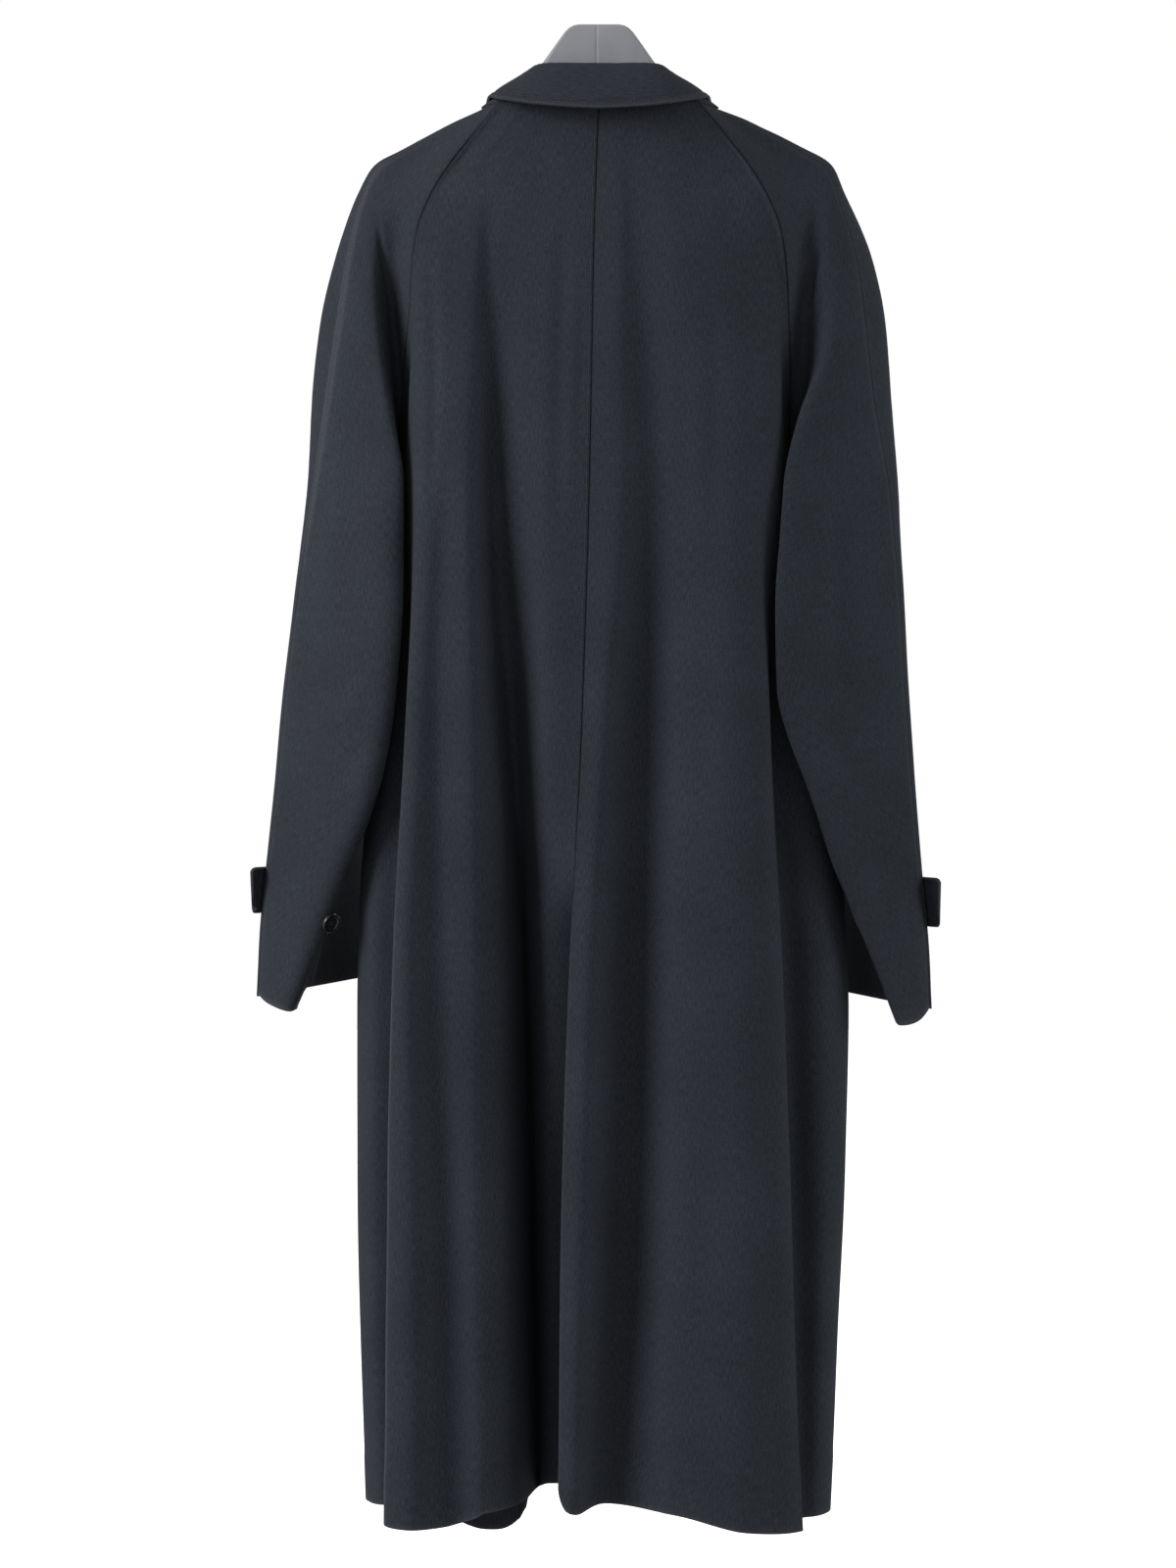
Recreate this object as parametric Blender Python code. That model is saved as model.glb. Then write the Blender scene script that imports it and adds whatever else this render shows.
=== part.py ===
# Raglan coat on a hanger, in metres, +Z up.
# The origin is the centre of the hanger's flat top, where it is held. The coat's back faces -Y.
# Tables are in millimetres and are scaled by MM. A reach is a distance from the middle, to either side.
import bpy
import math
from mathutils import Vector

MM = 0.001
WALL = 1.5
SEAM_GAP = 0.3
LIFT = 0.5
RAGLAN_TRIM = 0.7

# Body heights: every line of a panel has one place at each of these
NECK, YOKE, UNDERARM, WAIST, HIP, KNEE, HEM = -75, -190, -400, -620, -830, -1060, -1290
HEIGHTS = (NECK, YOKE, UNDERARM, WAIST, HIP, KNEE, HEM)
HEM_REACH = 260
ROWS_YOKE = 8
ROWS_SKIRT = 13

# Back lines from the centre back to the side: x at each height, y at each height, height at the hem
BACK_LEFT = (
    ("centre", (0, -4, -8, -15, -14, -6, -2), (-58, -76, -90, -92, -66, -55, -52), -1272),
    ("slope", (-15, -36, -45, -45, -45, -43, -41), (-59, -77, -90, -87, -62, -48, -44), -1271),
    ("valley", (-28, -79, -89, -74, -64, -57, -53), (-58, -72, -68, -42, -24, -16, -16), -1279),
    ("lip", (-35, -91, -100, -87, -78, -72, -69), (-57, -71, -77, -67, -69, -74, -78), -1283),
    ("roll", (-46, -106, -112, -108, -106, -105, -100), (-55, -71, -89, -98, -104, -109, -112), -1287),
    ("trough", (-58, -124, -132, -138, -138, -131, -126), (-52, -67, -87, -88, -90, -93, -95), -1298),
    ("brow", (-65, -135, -144, -156, -165, -161, -161), (-51, -64, -86, -93, -103, -111, -114), -1299),
    ("ridge", (-70, -143, -153, -166, -177, -181, -183), (-49, -61, -80, -87, -92, -97, -100), -1297),
    ("crease", (-77, -151, -165, -163, -168, -171, -172), (-46, -57, -59, -50, -48, -50, -54), -1288),
    ("strip", (-82, -155, -169, -184, -197, -197, -190), (-44, -55, -34, -36, -40, -43, -47), -1289),
)
BACK_RIGHT = (
    ("centre", (0, -4, -8, -15, -26, -33, -35), (-58, -76, -90, -93, -98, -103, -107), -1280),
    ("crest", (14, 18, 18, 4, -8, -16, -22), (-59, -78, -92, -98, -104, -109, -113), -1286),
    ("valley", (28, 30, 44, 34, 24, 18, 4), (-59, -74, -79, -69, -66, -68, -80), -1282),
    ("plane_a", (44, 64, 86, 84, 82, 77, 68), (-57, -75, -91, -94, -98, -103, -108), -1288),
    ("plane_b", (58, 95, 112, 118, 124, 124, 121), (-53, -71, -90, -98, -103, -109, -113), -1301),
    ("ridge", (70, 130, 134, 148, 163, 171, 178), (-49, -61, -82, -83, -83, -88, -90), -1304),
    ("crease", (77, 148, 156, 148, 155, 162, 170), (-46, -55, -64, -50, -46, -49, -56), -1301),
    ("strip", (82, 152, 163, 184, 200, 197, 190), (-44, -53, -38, -36, -38, -42, -47), -1299),
)
# Front lines from the side to the free edge, given as a reach
# The front edges overlap down to the lowest button
FRONT_LEFT = (
    ("strip", (74, 150, 163, 182, 191, 190, 184), (56, 58, 26, 42, 44, 48, 50), -1296),
    ("ridge", (68, 140, 156, 162, 166, 166, 166), (60, 68, 78, 84, 86, 92, 96), -1310),
    ("trough", (55, 112, 132, 136, 136, 138, 140), (68, 78, 86, 84, 80, 82, 86), -1320),
    ("plane", (38, 72, 84, 84, 88, 98, 108), (78, 88, 97, 98, 98, 102, 106), -1338),
    ("edge", (-20, -26, -27, -27, -20, 22, 66), (90, 98, 103, 104, 104, 106, 108), -1338),
)
FRONT_RIGHT = (
    ("strip", (74, 150, 163, 183, 195, 191, 183), (56, 58, 26, 42, 44, 48, 50), -1300),
    ("ridge", (68, 140, 156, 163, 168, 168, 166), (60, 68, 78, 84, 86, 92, 96), -1304),
    ("trough", (55, 112, 130, 132, 134, 136, 138), (68, 78, 86, 85, 82, 84, 88), -1300),
    ("plane", (38, 72, 84, 84, 82, 82, 82), (72, 82, 91, 92, 92, 96, 100), -1300),
    ("edge", (-24, -26, -27, -27, -26, -10, 20), (76, 87, 95, 96, 96, 99, 102), -1302),
)
NECK_DROP_EDGE = -53
NECK_DROP_ROWS = 110

# Raglan seam: height, reach, y at the back seam, y at the front seam
RAGLAN = (
    (-74, 87, -42, 52),
    (-103, 110, -47, 57),
    (-131, 131, -51, 60),
    (-158, 147, -53, 61),
    (-184, 157, -54, 60),
    (-215, 162, -51, 56),
    (-266, 165, -42, 46),
    (-316, 167, -28, 31),
    (-360, 167, -14, 15),
    (-400, 166, -4, 4),
)
FRONT_SEAM_DROP = -21
# The left underarm sits a little farther out
FLARE, FLARE_TOP, FLARE_RUN = 8, -240, 140
# Side seam below the underarm: height, reach on the left, reach on the right
SIDE = (
    (-412, 175, 166),
    (-500, 185.5, 178),
    (-620, 197, 197),
    (-700, 205, 208),
    (-773, 210, 216),
    (-860, 212, 219),
    (-1000, 212, 216),
    (-1150, 209, 209),
    (-1290, 204, 203),
)

# Sleeve sections from neck to cuff, one row each: height at the seam, reach of the seam below the underarm,
# tuck reach and y, back corner reach left and right and y and dip, overarm seam reach and y,
# outer edge reach left and right and height, front corner reach and y
SLEEVE = (
    (-74, 0, 91, 34, 97, 97, 22, 0, 101, 7, 103, 105, -73, 94, 32),
    (-103, 0, 116, 37, 123, 123, 23, 0, 126, 7, 128, 135, -85, 119, 31),
    (-131, 0, 139, 40, 147, 148, 24, 0, 150, 7, 152, 161, -97, 143, 32),
    (-158, 0, 158, 41, 169, 170, 26, 0, 172, 8, 175, 184, -109, 164, 34),
    (-184, 0, 170, 42, 184, 187, 30, 0, 192, 10, 197, 205, -122, 180, 37),
    (-215, 0, 176, 38, 193, 197, 36, 0, 205, 16, 212, 217, -148, 190, 43),
    (-266, 0, 179, 29, 196, 200, 44, 0, 217, 25, 231, 239, -200, 194, 52),
    (-316, 0, 179, 25, 191, 195, 55, 0, 226, 29, 245, 252, -262, 193, 63),
    (-360, 168, 177, 29, 180, 174, 66, 0, 236, 27, 252, 257, -330, 190, 73),
    (-400, 169.5, 174, 38, 170, 160, 75, 0, 246, 22, 254, 261, -398, 187, 81),
    (-450, 182, 179, 44, 169, 155, 83, 2, 255, 15, 259, 263, -450, 190, 86),
    (-510, 191, 185, 46, 169, 151, 86, 3, 265, 8, 267, 267, -510, 196, 90),
    (-580, 202, 193, 44, 174, 152, 84, 4, 274, 4, 276, 271, -580, 203, 95),
    (-660, 214, 208, 40, 188, 178, 70, 6, 282, 0, 284, 277, -660, 209, 99),
    (-740, 229, 228, 33, 220, 209, 54, 8, 291, -6, 293, 285, -740, 211, 103),
    (-799, 241, 243, 24, 243, 237, 42, 10, 297, -10, 299, 291, -798, 210, 106),
    (-841, 251, 256, 16, 266, 259, 36, 16, 300, -12, 302, 294, -852, 208, 107),
)
EDGE_Y = 14
CUFF_DROP_RIGHT = 11

# Collar stations from the centre back to the front end: fold reach, y, z; leaf edge reach, y, z
# Its stand starts on the rim of the panels, at these shares of the neckline
NECK_SHARES = (0, 0.13, 0.27, 0.40, 0.52, 0.65, 0.77, 0.88, 0.965)
COLLAR = (
    (0, -50, -40, 0, -80, -86),
    (29, -49, -40, 33, -78, -84),
    (50, -40, -41, 68, -70, -79),
    (61, -22, -42, 92, -46, -71),
    (66, 2, -45, 96, -12, -66),
    (63, 26, -60, 100, 26, -74),
    (52, 49, -80, 104, 70, -105),
    (33, 70, -104, 84, 101, -144),
    (7, 90, -122, 52, 119, -184),
)
COLLAR_WALL = 2.2
COLLAR_ROLL = 5

# Hanger: reach, top height, half thickness, bottom height; from the shoulder on, the top follows the sleeve
HANGER = (
    (0, 0, 12, -70),
    (12, 0, 12, -70),
    (19, 0, 12, -70),
    (26, -3, 12, -71),
    (34, -12, 12, -74),
    (46, -28, 12, -80),
    (56, -42, 12, -85),
    (66, -56, 11, -90),
    (80, -69, 11, -96),
)
ARM_END = 186
ARM_EASE = 5.0
ARM_STEPS = 8
ARM_HALF_NEAR, ARM_HALF_FAR = 11, 13
ARM_DEPTH_NEAR, ARM_DEPTH_FAR = 27, 42

# Straps round the cuffs, pocket welts, buttons
STRAP_HEIGHTS = {-1: (-738, -779), 1: (-747, -791)}
STRAP_WALL = 2.4
STRAP_STAND = 2
STRAP_FREE = {-1: 17, 1: 22}
STRAP_LEAN = {-1: 0.56, 1: 0.44}
WELT_TOP, WELT_BOTTOM, WELT_WIDE, WELT_LEAN, WELT_WALL = -560, -728, 32, 44, 2.0
FRONT_BUTTON_RADIUS, CUFF_BUTTON_RADIUS, BUTTON_THICK, BUTTON_RIM = 11.5, 8.8, 3.6, 1.6
FRONT_BUTTONS = (-215, -365, -515, -665)
FRONT_BUTTON_COLUMN = 11
STRAP_BUTTON_COLUMN, CUFF_BUTTON_HEIGHT = 2.5, -786
CUFF_BUTTON_COLUMNS = {-1: 3.0, 1: 1.4}

CLOTH = (0.028, 0.031, 0.036)
CLOTH_ROUGH = 0.85
HANGER_GREY = (0.29, 0.30, 0.32)
HANGER_ROUGH = 0.45
BUTTON_BLACK = (0.018, 0.018, 0.020)
BUTTON_ROUGH = 0.30


def smooth(t):
    t = max(0.0, min(1.0, t))
    return t * t * (3.0 - 2.0 * t)


def mix(a, b, t):
    return a + (b - a) * t


def along(keys, values, at):
    # Value at a key between rows of a table, smooth and without overshoot; keys may rise or fall
    if keys[0] > keys[-1]:
        keys = [-k for k in keys]
        at = -at
    if at <= keys[0]:
        return values[0]
    if at >= keys[-1]:
        return values[-1]
    count = len(keys)
    slopes = [(values[i + 1] - values[i]) / (keys[i + 1] - keys[i]) for i in range(count - 1)]

    def tangent(i):
        if i == 0:
            return slopes[0]
        if i == count - 1:
            return slopes[-1]
        if slopes[i - 1] * slopes[i] <= 0:
            return 0.0
        return 2.0 * slopes[i - 1] * slopes[i] / (slopes[i - 1] + slopes[i])

    i = 0
    while at > keys[i + 1]:
        i += 1
    step = keys[i + 1] - keys[i]
    t = (at - keys[i]) / step
    t2, t3 = t * t, t * t * t
    return (
        (2 * t3 - 3 * t2 + 1) * values[i]
        + (t3 - 2 * t2 + t) * step * tangent(i)
        + (3 * t2 - 2 * t3) * values[i + 1]
        + (t3 - t2) * step * tangent(i + 1)
    )


def curve(points, counts, before=None, after=None):
    # Smooth curve through the points, with a set number of steps in each span, plus a ghost point at each end
    first = before if before is not None else points[0] * 2 - points[1]
    last = after if after is not None else points[-1] * 2 - points[-2]
    ring = [first] + list(points) + [last]
    out = []

    def place(i, t):
        p0, p1, p2, p3 = ring[i], ring[i + 1], ring[i + 2], ring[i + 3]
        k0 = 0.0
        k1 = k0 + max(1e-6, (p1 - p0).length) ** 0.5
        k2 = k1 + max(1e-6, (p2 - p1).length) ** 0.5
        k3 = k2 + max(1e-6, (p3 - p2).length) ** 0.5
        k = k1 + (k2 - k1) * t
        a1 = p0 * ((k1 - k) / (k1 - k0)) + p1 * ((k - k0) / (k1 - k0))
        a2 = p1 * ((k2 - k) / (k2 - k1)) + p2 * ((k - k1) / (k2 - k1))
        a3 = p2 * ((k3 - k) / (k3 - k2)) + p3 * ((k - k2) / (k3 - k2))
        b1 = a1 * ((k2 - k) / (k2 - k0)) + a2 * ((k - k0) / (k2 - k0))
        b2 = a2 * ((k3 - k) / (k3 - k1)) + a3 * ((k - k1) / (k3 - k1))
        return b1 * ((k2 - k) / (k2 - k1)) + b2 * ((k - k1) / (k2 - k1))

    for i, steps in enumerate(counts):
        for s in range(steps):
            out.append(place(i, s / steps))
    out.append(points[-1].copy())
    head = out[0] * 2 - out[1]
    tail = out[-1] * 2 - out[-2]
    if before is not None:
        head = out[0] + (before - out[0]).normalized() * (out[1] - out[0]).length
    if after is not None:
        tail = out[-1] + (after - out[-1]).normalized() * (out[-1] - out[-2]).length
    return [head] + out + [tail]


# Sheets: a grid of points with a ghost column at both sides becomes one closed wall
def wall_faces(rows, cols):
    layer = rows * cols
    faces = []
    for i in range(rows - 1):
        for j in range(cols - 1):
            a, b = i * cols + j, i * cols + j + 1
            c, d = a + cols, b + cols
            faces.append((a, c, d, b))
            faces.append((a + layer, b + layer, d + layer, c + layer))
    for j in range(cols - 1):
        faces.append((j, j + 1, j + 1 + layer, j + layer))
        k = (rows - 1) * cols + j
        faces.append((k + 1, k, k + layer, k + 1 + layer))
    for i in range(rows - 1):
        a, b = i * cols, (i + 1) * cols
        faces.append((b, a, a + layer, b + layer))
        a, b = a + cols - 1, b + cols - 1
        faces.append((a, b, b + layer, a + layer))
    return faces


def normals(grid):
    rows, cols = len(grid), len(grid[0])
    out = []
    for i in range(rows):
        line = []
        for j in range(1, cols - 1):
            down = grid[min(i + 1, rows - 1)][j] - grid[max(i - 1, 0)][j]
            across = grid[i][j + 1] - grid[i][j - 1]
            line.append(down.cross(across).normalized())
        out.append(line)
    return out


def trim(grid, left, right):
    # Pull the two side columns back from their seams
    for row in grid:
        if left:
            row[1] = row[1] + (row[2] - row[1]).normalized() * left
        if right:
            row[-2] = row[-2] + (row[-3] - row[-2]).normalized() * right


def material(name, colour, rough):
    mat = bpy.data.materials.new(name)
    mat.use_nodes = True
    shader = mat.node_tree.nodes["Principled BSDF"]
    shader.inputs["Base Color"].default_value = (*colour, 1.0)
    shader.inputs["Roughness"].default_value = rough
    shader.inputs["Metallic"].default_value = 0.0
    return mat


def add(name, points, faces, colour, rough):
    mesh = bpy.data.meshes.new(name)
    mesh.from_pydata([tuple(p * MM) for p in points], [], faces)
    mesh.validate()
    mesh.update()
    obj = bpy.data.objects.new(name, mesh)
    obj.data.materials.append(material(name + "_material", colour, rough))
    bpy.context.collection.objects.link(obj)
    return obj


def sheet(name, grid, outward, thick, lift=0.0, colour=CLOTH, rough=CLOTH_ROUGH):
    # outward is 1 where down x across points out of the coat, else -1
    ways = normals(grid)
    rows, cols = len(grid), len(grid[0]) - 2
    outer = []
    inner = []
    for i in range(rows):
        for j in range(cols):
            out = ways[i][j] * outward
            outer.append(grid[i][j + 1] + out * lift)
            inner.append(grid[i][j + 1] + out * (lift - thick))
    faces = wall_faces(rows, cols)
    if outward < 0:
        faces = [tuple(reversed(f)) for f in faces]
    return add(name, outer + inner, faces, colour, rough)


# Body panels
def seam_point(side, height, front):
    # Where a body panel ends: on the raglan seam above the underarm, on the side seam below it
    if height > UNDERARM - 6:
        keys = [r[0] for r in RAGLAN]
        reach = along(keys, [r[1] for r in RAGLAN], height)
        if side < 0:
            reach += FLARE * smooth((FLARE_TOP - height) / FLARE_RUN)
        y = along(keys, [r[3] if front else r[2] for r in RAGLAN], height)
        drop = FRONT_SEAM_DROP * (1.0 - smooth((keys[0] - height) / NECK_DROP_ROWS)) if front else 0.0
        return Vector((side * reach, y, height + drop))
    reach = along([r[0] for r in SIDE], [r[1] if side < 0 else r[2] for r in SIDE], height)
    return Vector((side * reach, 0.0, height))


def line_point(line, height, scale, drop):
    x = along(HEIGHTS, line[1], height) * scale
    y = along(HEIGHTS, line[2], height)
    low = smooth((HEM + HEM_REACH - height) / HEM_REACH)
    return Vector((x, y, height + (line[3] - HEM) * low + drop))


def body_rows():
    rows = [mix(-74, UNDERARM, i / ROWS_YOKE) for i in range(ROWS_YOKE)]
    rows += [UNDERARM, UNDERARM - 14]
    rows += [mix(UNDERARM - 14, HEM, (i + 1) / ROWS_SKIRT) for i in range(ROWS_SKIRT)]
    return rows


def side_hem(side):
    return -1291 if side < 0 else -1300


def tuck_point(side, height, way):
    # The sleeve's first point beyond the raglan seam, at the back or the front
    keys = [r[0] for r in SLEEVE]
    reach = along(keys, [r[2] for r in SLEEVE], height)
    y = along(keys, [r[3] for r in SLEEVE], height)
    edge = along(keys, [r[12] for r in SLEEVE], height)
    drop = (seam_point(side, height, True).z - height) * 0.7 if way > 0 else 0.0
    return Vector((side * reach, way * y, mix(height, edge, 0.25) + drop))


def back_row(side, lines, height, counts):
    points = [line_point(line, height, 1.0, 0.0) for line in lines]
    seam = seam_point(side, height, False)
    low = smooth((HEM + HEM_REACH - height) / HEM_REACH)
    seam.z += (side_hem(side) - HEM) * low
    points.append(seam)
    if height < UNDERARM - 6:
        front = FRONT_LEFT if side < 0 else FRONT_RIGHT
        after = line_point(front[0], height, side, 0.0)
    else:
        after = tuck_point(side, height, -1)
    return curve(points, counts, after=after)


def front_row(side, lines, height, counts):
    fade = 1.0 - smooth((-74 - height) / NECK_DROP_ROWS)
    count = len(lines)
    points = [seam_point(side, height, True)]
    low = smooth((HEM + HEM_REACH - height) / HEM_REACH)
    points[0].z += (side_hem(side) - HEM) * low
    for k, line in enumerate(lines):
        drop = fade * mix(FRONT_SEAM_DROP, NECK_DROP_EDGE, (k + 1) / count)
        points.append(line_point(line, height, side, drop))
    if height < UNDERARM - 6:
        back = BACK_LEFT if side < 0 else BACK_RIGHT
        before = line_point(back[-1], height, 1.0, 0.0)
    else:
        before = tuck_point(side, height, 1)
    return curve(points, counts, before=before)


def back_grid(side):
    lines = BACK_LEFT if side < 0 else BACK_RIGHT
    counts = [3] * len(lines)
    grid = [back_row(side, lines, h, counts) for h in body_rows()]
    trim(grid, SEAM_GAP * 0.6, RAGLAN_TRIM)
    return grid


def front_grid(side):
    lines = FRONT_LEFT if side < 0 else FRONT_RIGHT
    grid = [front_row(side, lines, h, [2, 2, 2, 2, 4]) for h in body_rows()]
    trim(grid, RAGLAN_TRIM, 0)
    return grid


# Sleeves
def sleeve_row(side, row, counts):
    table = [[r[c] for r in SLEEVE] for c in range(len(SLEEVE[0]))]
    index = list(range(len(SLEEVE)))

    def at(column):
        return along(index, table[column], row)

    lower = CUFF_DROP_RIGHT * smooth((row - 12) / 4) if side > 0 else 0.0
    height = at(0) - lower
    tuck_x, tuck_y = at(2), at(3)
    back_x, back_y, dip = at(4 if side < 0 else 5), at(6), at(7)
    arm_x, arm_y = at(8), at(9)
    edge_x, edge_z = at(10 if side < 0 else 11), at(12) - lower
    front_x, front_y = at(13), at(14)
    if side > 0:
        arm_x += edge_x - at(10)
    last_raglan = len(RAGLAN) - 1
    if row <= last_raglan + 0.01:
        seam_b = seam_point(side, height, False)
        seam_f = seam_point(side, height, True)
    else:
        flare = FLARE * (1.0 - smooth((row - last_raglan) / 2.2)) if side < 0 else 0.0
        seam_b = Vector((side * (at(1) + flare), 0, height))
        seam_f = seam_b.copy()
    if row > last_raglan - 0.01 and row <= last_raglan + 0.01:
        seam_b.x += side * 1.5
        seam_f.x += side * 1.5
    mid = (height + edge_z) / 2
    back = [
        seam_b,
        Vector((side * tuck_x, -tuck_y, mix(height, edge_z, 0.25))),
        Vector((side * back_x, -back_y, mid - dip)),
        Vector((side * arm_x, -arm_y, mix(height, edge_z, 0.92))),
    ]
    front_low = seam_f.z - seam_b.z
    front = [
        Vector((side * edge_x, EDGE_Y * min(1.0, 0.3 + 0.1 * row), edge_z)),
        Vector((side * front_x, front_y, mid + dip * 0.5 + front_low * 0.4)),
        Vector((side * tuck_x, tuck_y, mix(height, edge_z, 0.25) + front_low * 0.7)),
        seam_f,
    ]
    if row > last_raglan + 0.01:
        before, after = front[-2], back[1]
    else:
        behind = BACK_LEFT if side < 0 else BACK_RIGHT
        ahead = FRONT_LEFT if side < 0 else FRONT_RIGHT
        before = line_point(behind[-1], height, 1.0, 0.0)
        after = line_point(ahead[0], height, side, front_low)
    return curve(back + front, counts, before=before, after=after)


SLEEVE_COUNTS = (2, 2, 3, 2, 3, 2, 2)
OVERARM = 1 + sum(SLEEVE_COUNTS[:3])


def sleeve_grid(side):
    rows = [i / 1.5 for i in range(int(1.5 * 9) + 1)]
    rows += [9, 9.35] + [9.35 + (len(SLEEVE) - 1 - 9.35) * (i + 1) / 8 for i in range(8)]
    return [sleeve_row(side, r, SLEEVE_COUNTS) for r in rows]


def sleeve_halves(side):
    whole = sleeve_grid(side)
    back = [row[:OVERARM + 2] for row in whole]
    front = [row[OVERARM - 1:] for row in whole]
    trim(back, RAGLAN_TRIM, SEAM_GAP)
    trim(front, SEAM_GAP, RAGLAN_TRIM)
    return back, front


# Collar: one folded wall, from the neck seam up to the fold and down to the leaf edge
def neckline(side):
    # The rim that the collar stands on, from the centre back to the front edge
    lines = BACK_LEFT if side < 0 else BACK_RIGHT
    rim = back_row(side, lines, RAGLAN[0][0], [4] * len(lines))[1:-1]
    rim += sleeve_row(side, 0, [4] * 7)[2:-2]
    front = FRONT_LEFT if side < 0 else FRONT_RIGHT
    rim += front_row(side, front, RAGLAN[0][0], [4] * len(front))[1:-1]
    middle = [p for p in rim if p.x * side > -1 or p.y < 0]
    return middle


def walk(path, share):
    total = sum((q - p).length for p, q in zip(path, path[1:]))
    goal = share * total
    for p, q in zip(path, path[1:]):
        step = (q - p).length
        if goal <= step:
            return p.lerp(q, goal / max(step, 1e-9))
        goal -= step
    return path[-1].copy()


def collar_row(u, side, rim):
    keys = list(range(len(COLLAR)))
    v = [along(keys, [r[c] for r in COLLAR], u) for c in range(6)]
    seam = walk(rim, along(keys, NECK_SHARES, u))
    fold = Vector((side * v[0], v[1], v[2]))
    edge = Vector((side * v[3], v[4], v[5]))
    out = Vector((edge.x - fold.x, edge.y - fold.y, 0)).normalized()
    shrink = 1.0 - 0.5 * smooth((u - 5) / 3)
    rise = SEAM_GAP + 0.4 + 2.5 * smooth((u - 2.5) / 2.5) + 1.2 * smooth((u - 6) / 1.5)
    stand_low = seam + Vector((0, 0, rise)) + out * 0.3
    stand_mid = stand_low.lerp(fold, 0.5) + out * 1.0
    fold_in = fold - Vector((0, 0, COLLAR_ROLL * 0.5 * shrink)) - out * (COLLAR_ROLL * 0.5 * shrink)
    fold_out = fold - Vector((0, 0, COLLAR_ROLL * 0.7 * shrink)) + out * (COLLAR_ROLL * 1.1 * shrink)
    full = 1.0 - 0.75 * smooth(u - 1.5) * (1.0 - smooth((u - 5) / 1.5))
    fall_mid = fold.lerp(edge, 0.55) + (out * 3 + Vector((0, 0, 2.0))) * full
    return curve([stand_low, stand_mid, fold_in, fold, fold_out, fall_mid, edge], [1, 2, 1, 1, 2, 2])


def collar_grid():
    steps = 2
    half = [i / steps for i in range((len(COLLAR) - 1) * steps + 1)]
    rims = {side: neckline(side) for side in (-1, 1)}
    grid = [collar_row(u, -1, rims[-1]) for u in reversed(half)]
    grid += [collar_row(u, 1, rims[1]) for u in half[1:]]
    return grid


# Hanger
def shoulder_top(side, reach):
    # Height of the sleeve's outside along the shoulder
    xs = [r[10] if side < 0 else r[11] for r in SLEEVE[:6]]
    zs = [r[12] for r in SLEEVE[:6]]
    return along(xs, zs, reach)


def hanger_sections():
    rows = []
    for reach, top, half, low in HANGER:
        rows.append((reach, top, top, half, low))
    start = 98
    for i in range(ARM_STEPS + 1):
        t = i / ARM_STEPS
        reach = mix(start, ARM_END, t)
        drop = WALL + LIFT + ARM_EASE * t ** 1.5
        left = shoulder_top(-1, reach) - drop
        right = shoulder_top(1, reach) - drop
        half = mix(ARM_HALF_NEAR, ARM_HALF_FAR, t)
        rows.append((reach, left, right, half, None if i else -104))
    return rows


def hanger_ring(x, top, half, low):
    # A rounded bar section: flat sides, round top and bottom
    depth = top - low
    crown = min(half * 1.1, depth * 0.45)
    steps = 8
    points = []
    for k in range(steps + 1):
        a = math.pi * k / steps
        points.append(Vector((x, -half * math.cos(a), top - crown + crown * math.sin(a))))
    for k in range(steps + 1):
        a = math.pi * k / steps
        points.append(Vector((x, half * math.cos(a), low + crown * 0.6 - crown * 0.6 * math.sin(a))))
    return points


def hanger_block_ring(x, top, half, low):
    # The middle block has a flat top with softened corners
    soft = 3.0
    steps = 8
    points = []
    for k in range(steps + 1):
        t = k / steps
        y = mix(-half, half, t)
        edge = max(0.0, abs(y) - (half - soft)) / soft
        points.append(Vector((x, y, top - soft * (1 - math.sqrt(max(0.0, 1 - edge * edge))))))
    for k in range(steps + 1):
        a = math.pi * k / steps
        points.append(Vector((x, half * math.cos(a), low + soft - soft * math.sin(a))))
    return points


def build_hanger():
    rows = hanger_sections()
    stations = []
    for reach, left, right, half, low in reversed(rows):
        stations.append((-reach, left, half, low))
    for reach, left, right, half, low in rows[1:]:
        stations.append((reach, right, half, low))
    rings = []
    for x, top, half, low in stations:
        t = max(0.0, (abs(x) - 98) / (ARM_END - 98))
        bottom = low if low is not None else top - mix(ARM_DEPTH_NEAR, ARM_DEPTH_FAR, t)
        blend = smooth((abs(x) - 26) / 40)
        a = hanger_block_ring(x, top, half, bottom)
        b = hanger_ring(x, top, half, bottom)
        rings.append([p.lerp(q, blend) for p, q in zip(a, b)])
    size = len(rings[0])
    points = [p for ring in rings for p in ring]
    faces = []
    for i in range(len(rings) - 1):
        for j in range(size):
            k = (j + 1) % size
            faces.append((i * size + j, (i + 1) * size + j, (i + 1) * size + k, i * size + k))
    ends = ((0, -1), (len(rings) - 1, 1))
    for ring, way in ends:
        inset = []
        middle = sum(rings[ring], Vector()) / size
        for scale, out in ((0.72, 5.0), (0.36, 7.5)):
            base = len(points)
            for p in rings[ring]:
                q = middle + (p - middle) * scale
                q.x = middle.x + way * out
                points.append(q)
            inset.append(base)
        loops = [ring * size] + inset
        for low, high in zip(loops, loops[1:]):
            for j in range(size):
                k = (j + 1) % size
                quad = (low + j, high + j, high + k, low + k)
                faces.append(quad if way > 0 else tuple(reversed(quad)))
        cap = tuple(inset[-1] + j for j in range(size))
        faces.append(tuple(reversed(cap)) if way > 0 else cap)
    return add("hanger", points, faces, HANGER_GREY, HANGER_ROUGH)


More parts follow.
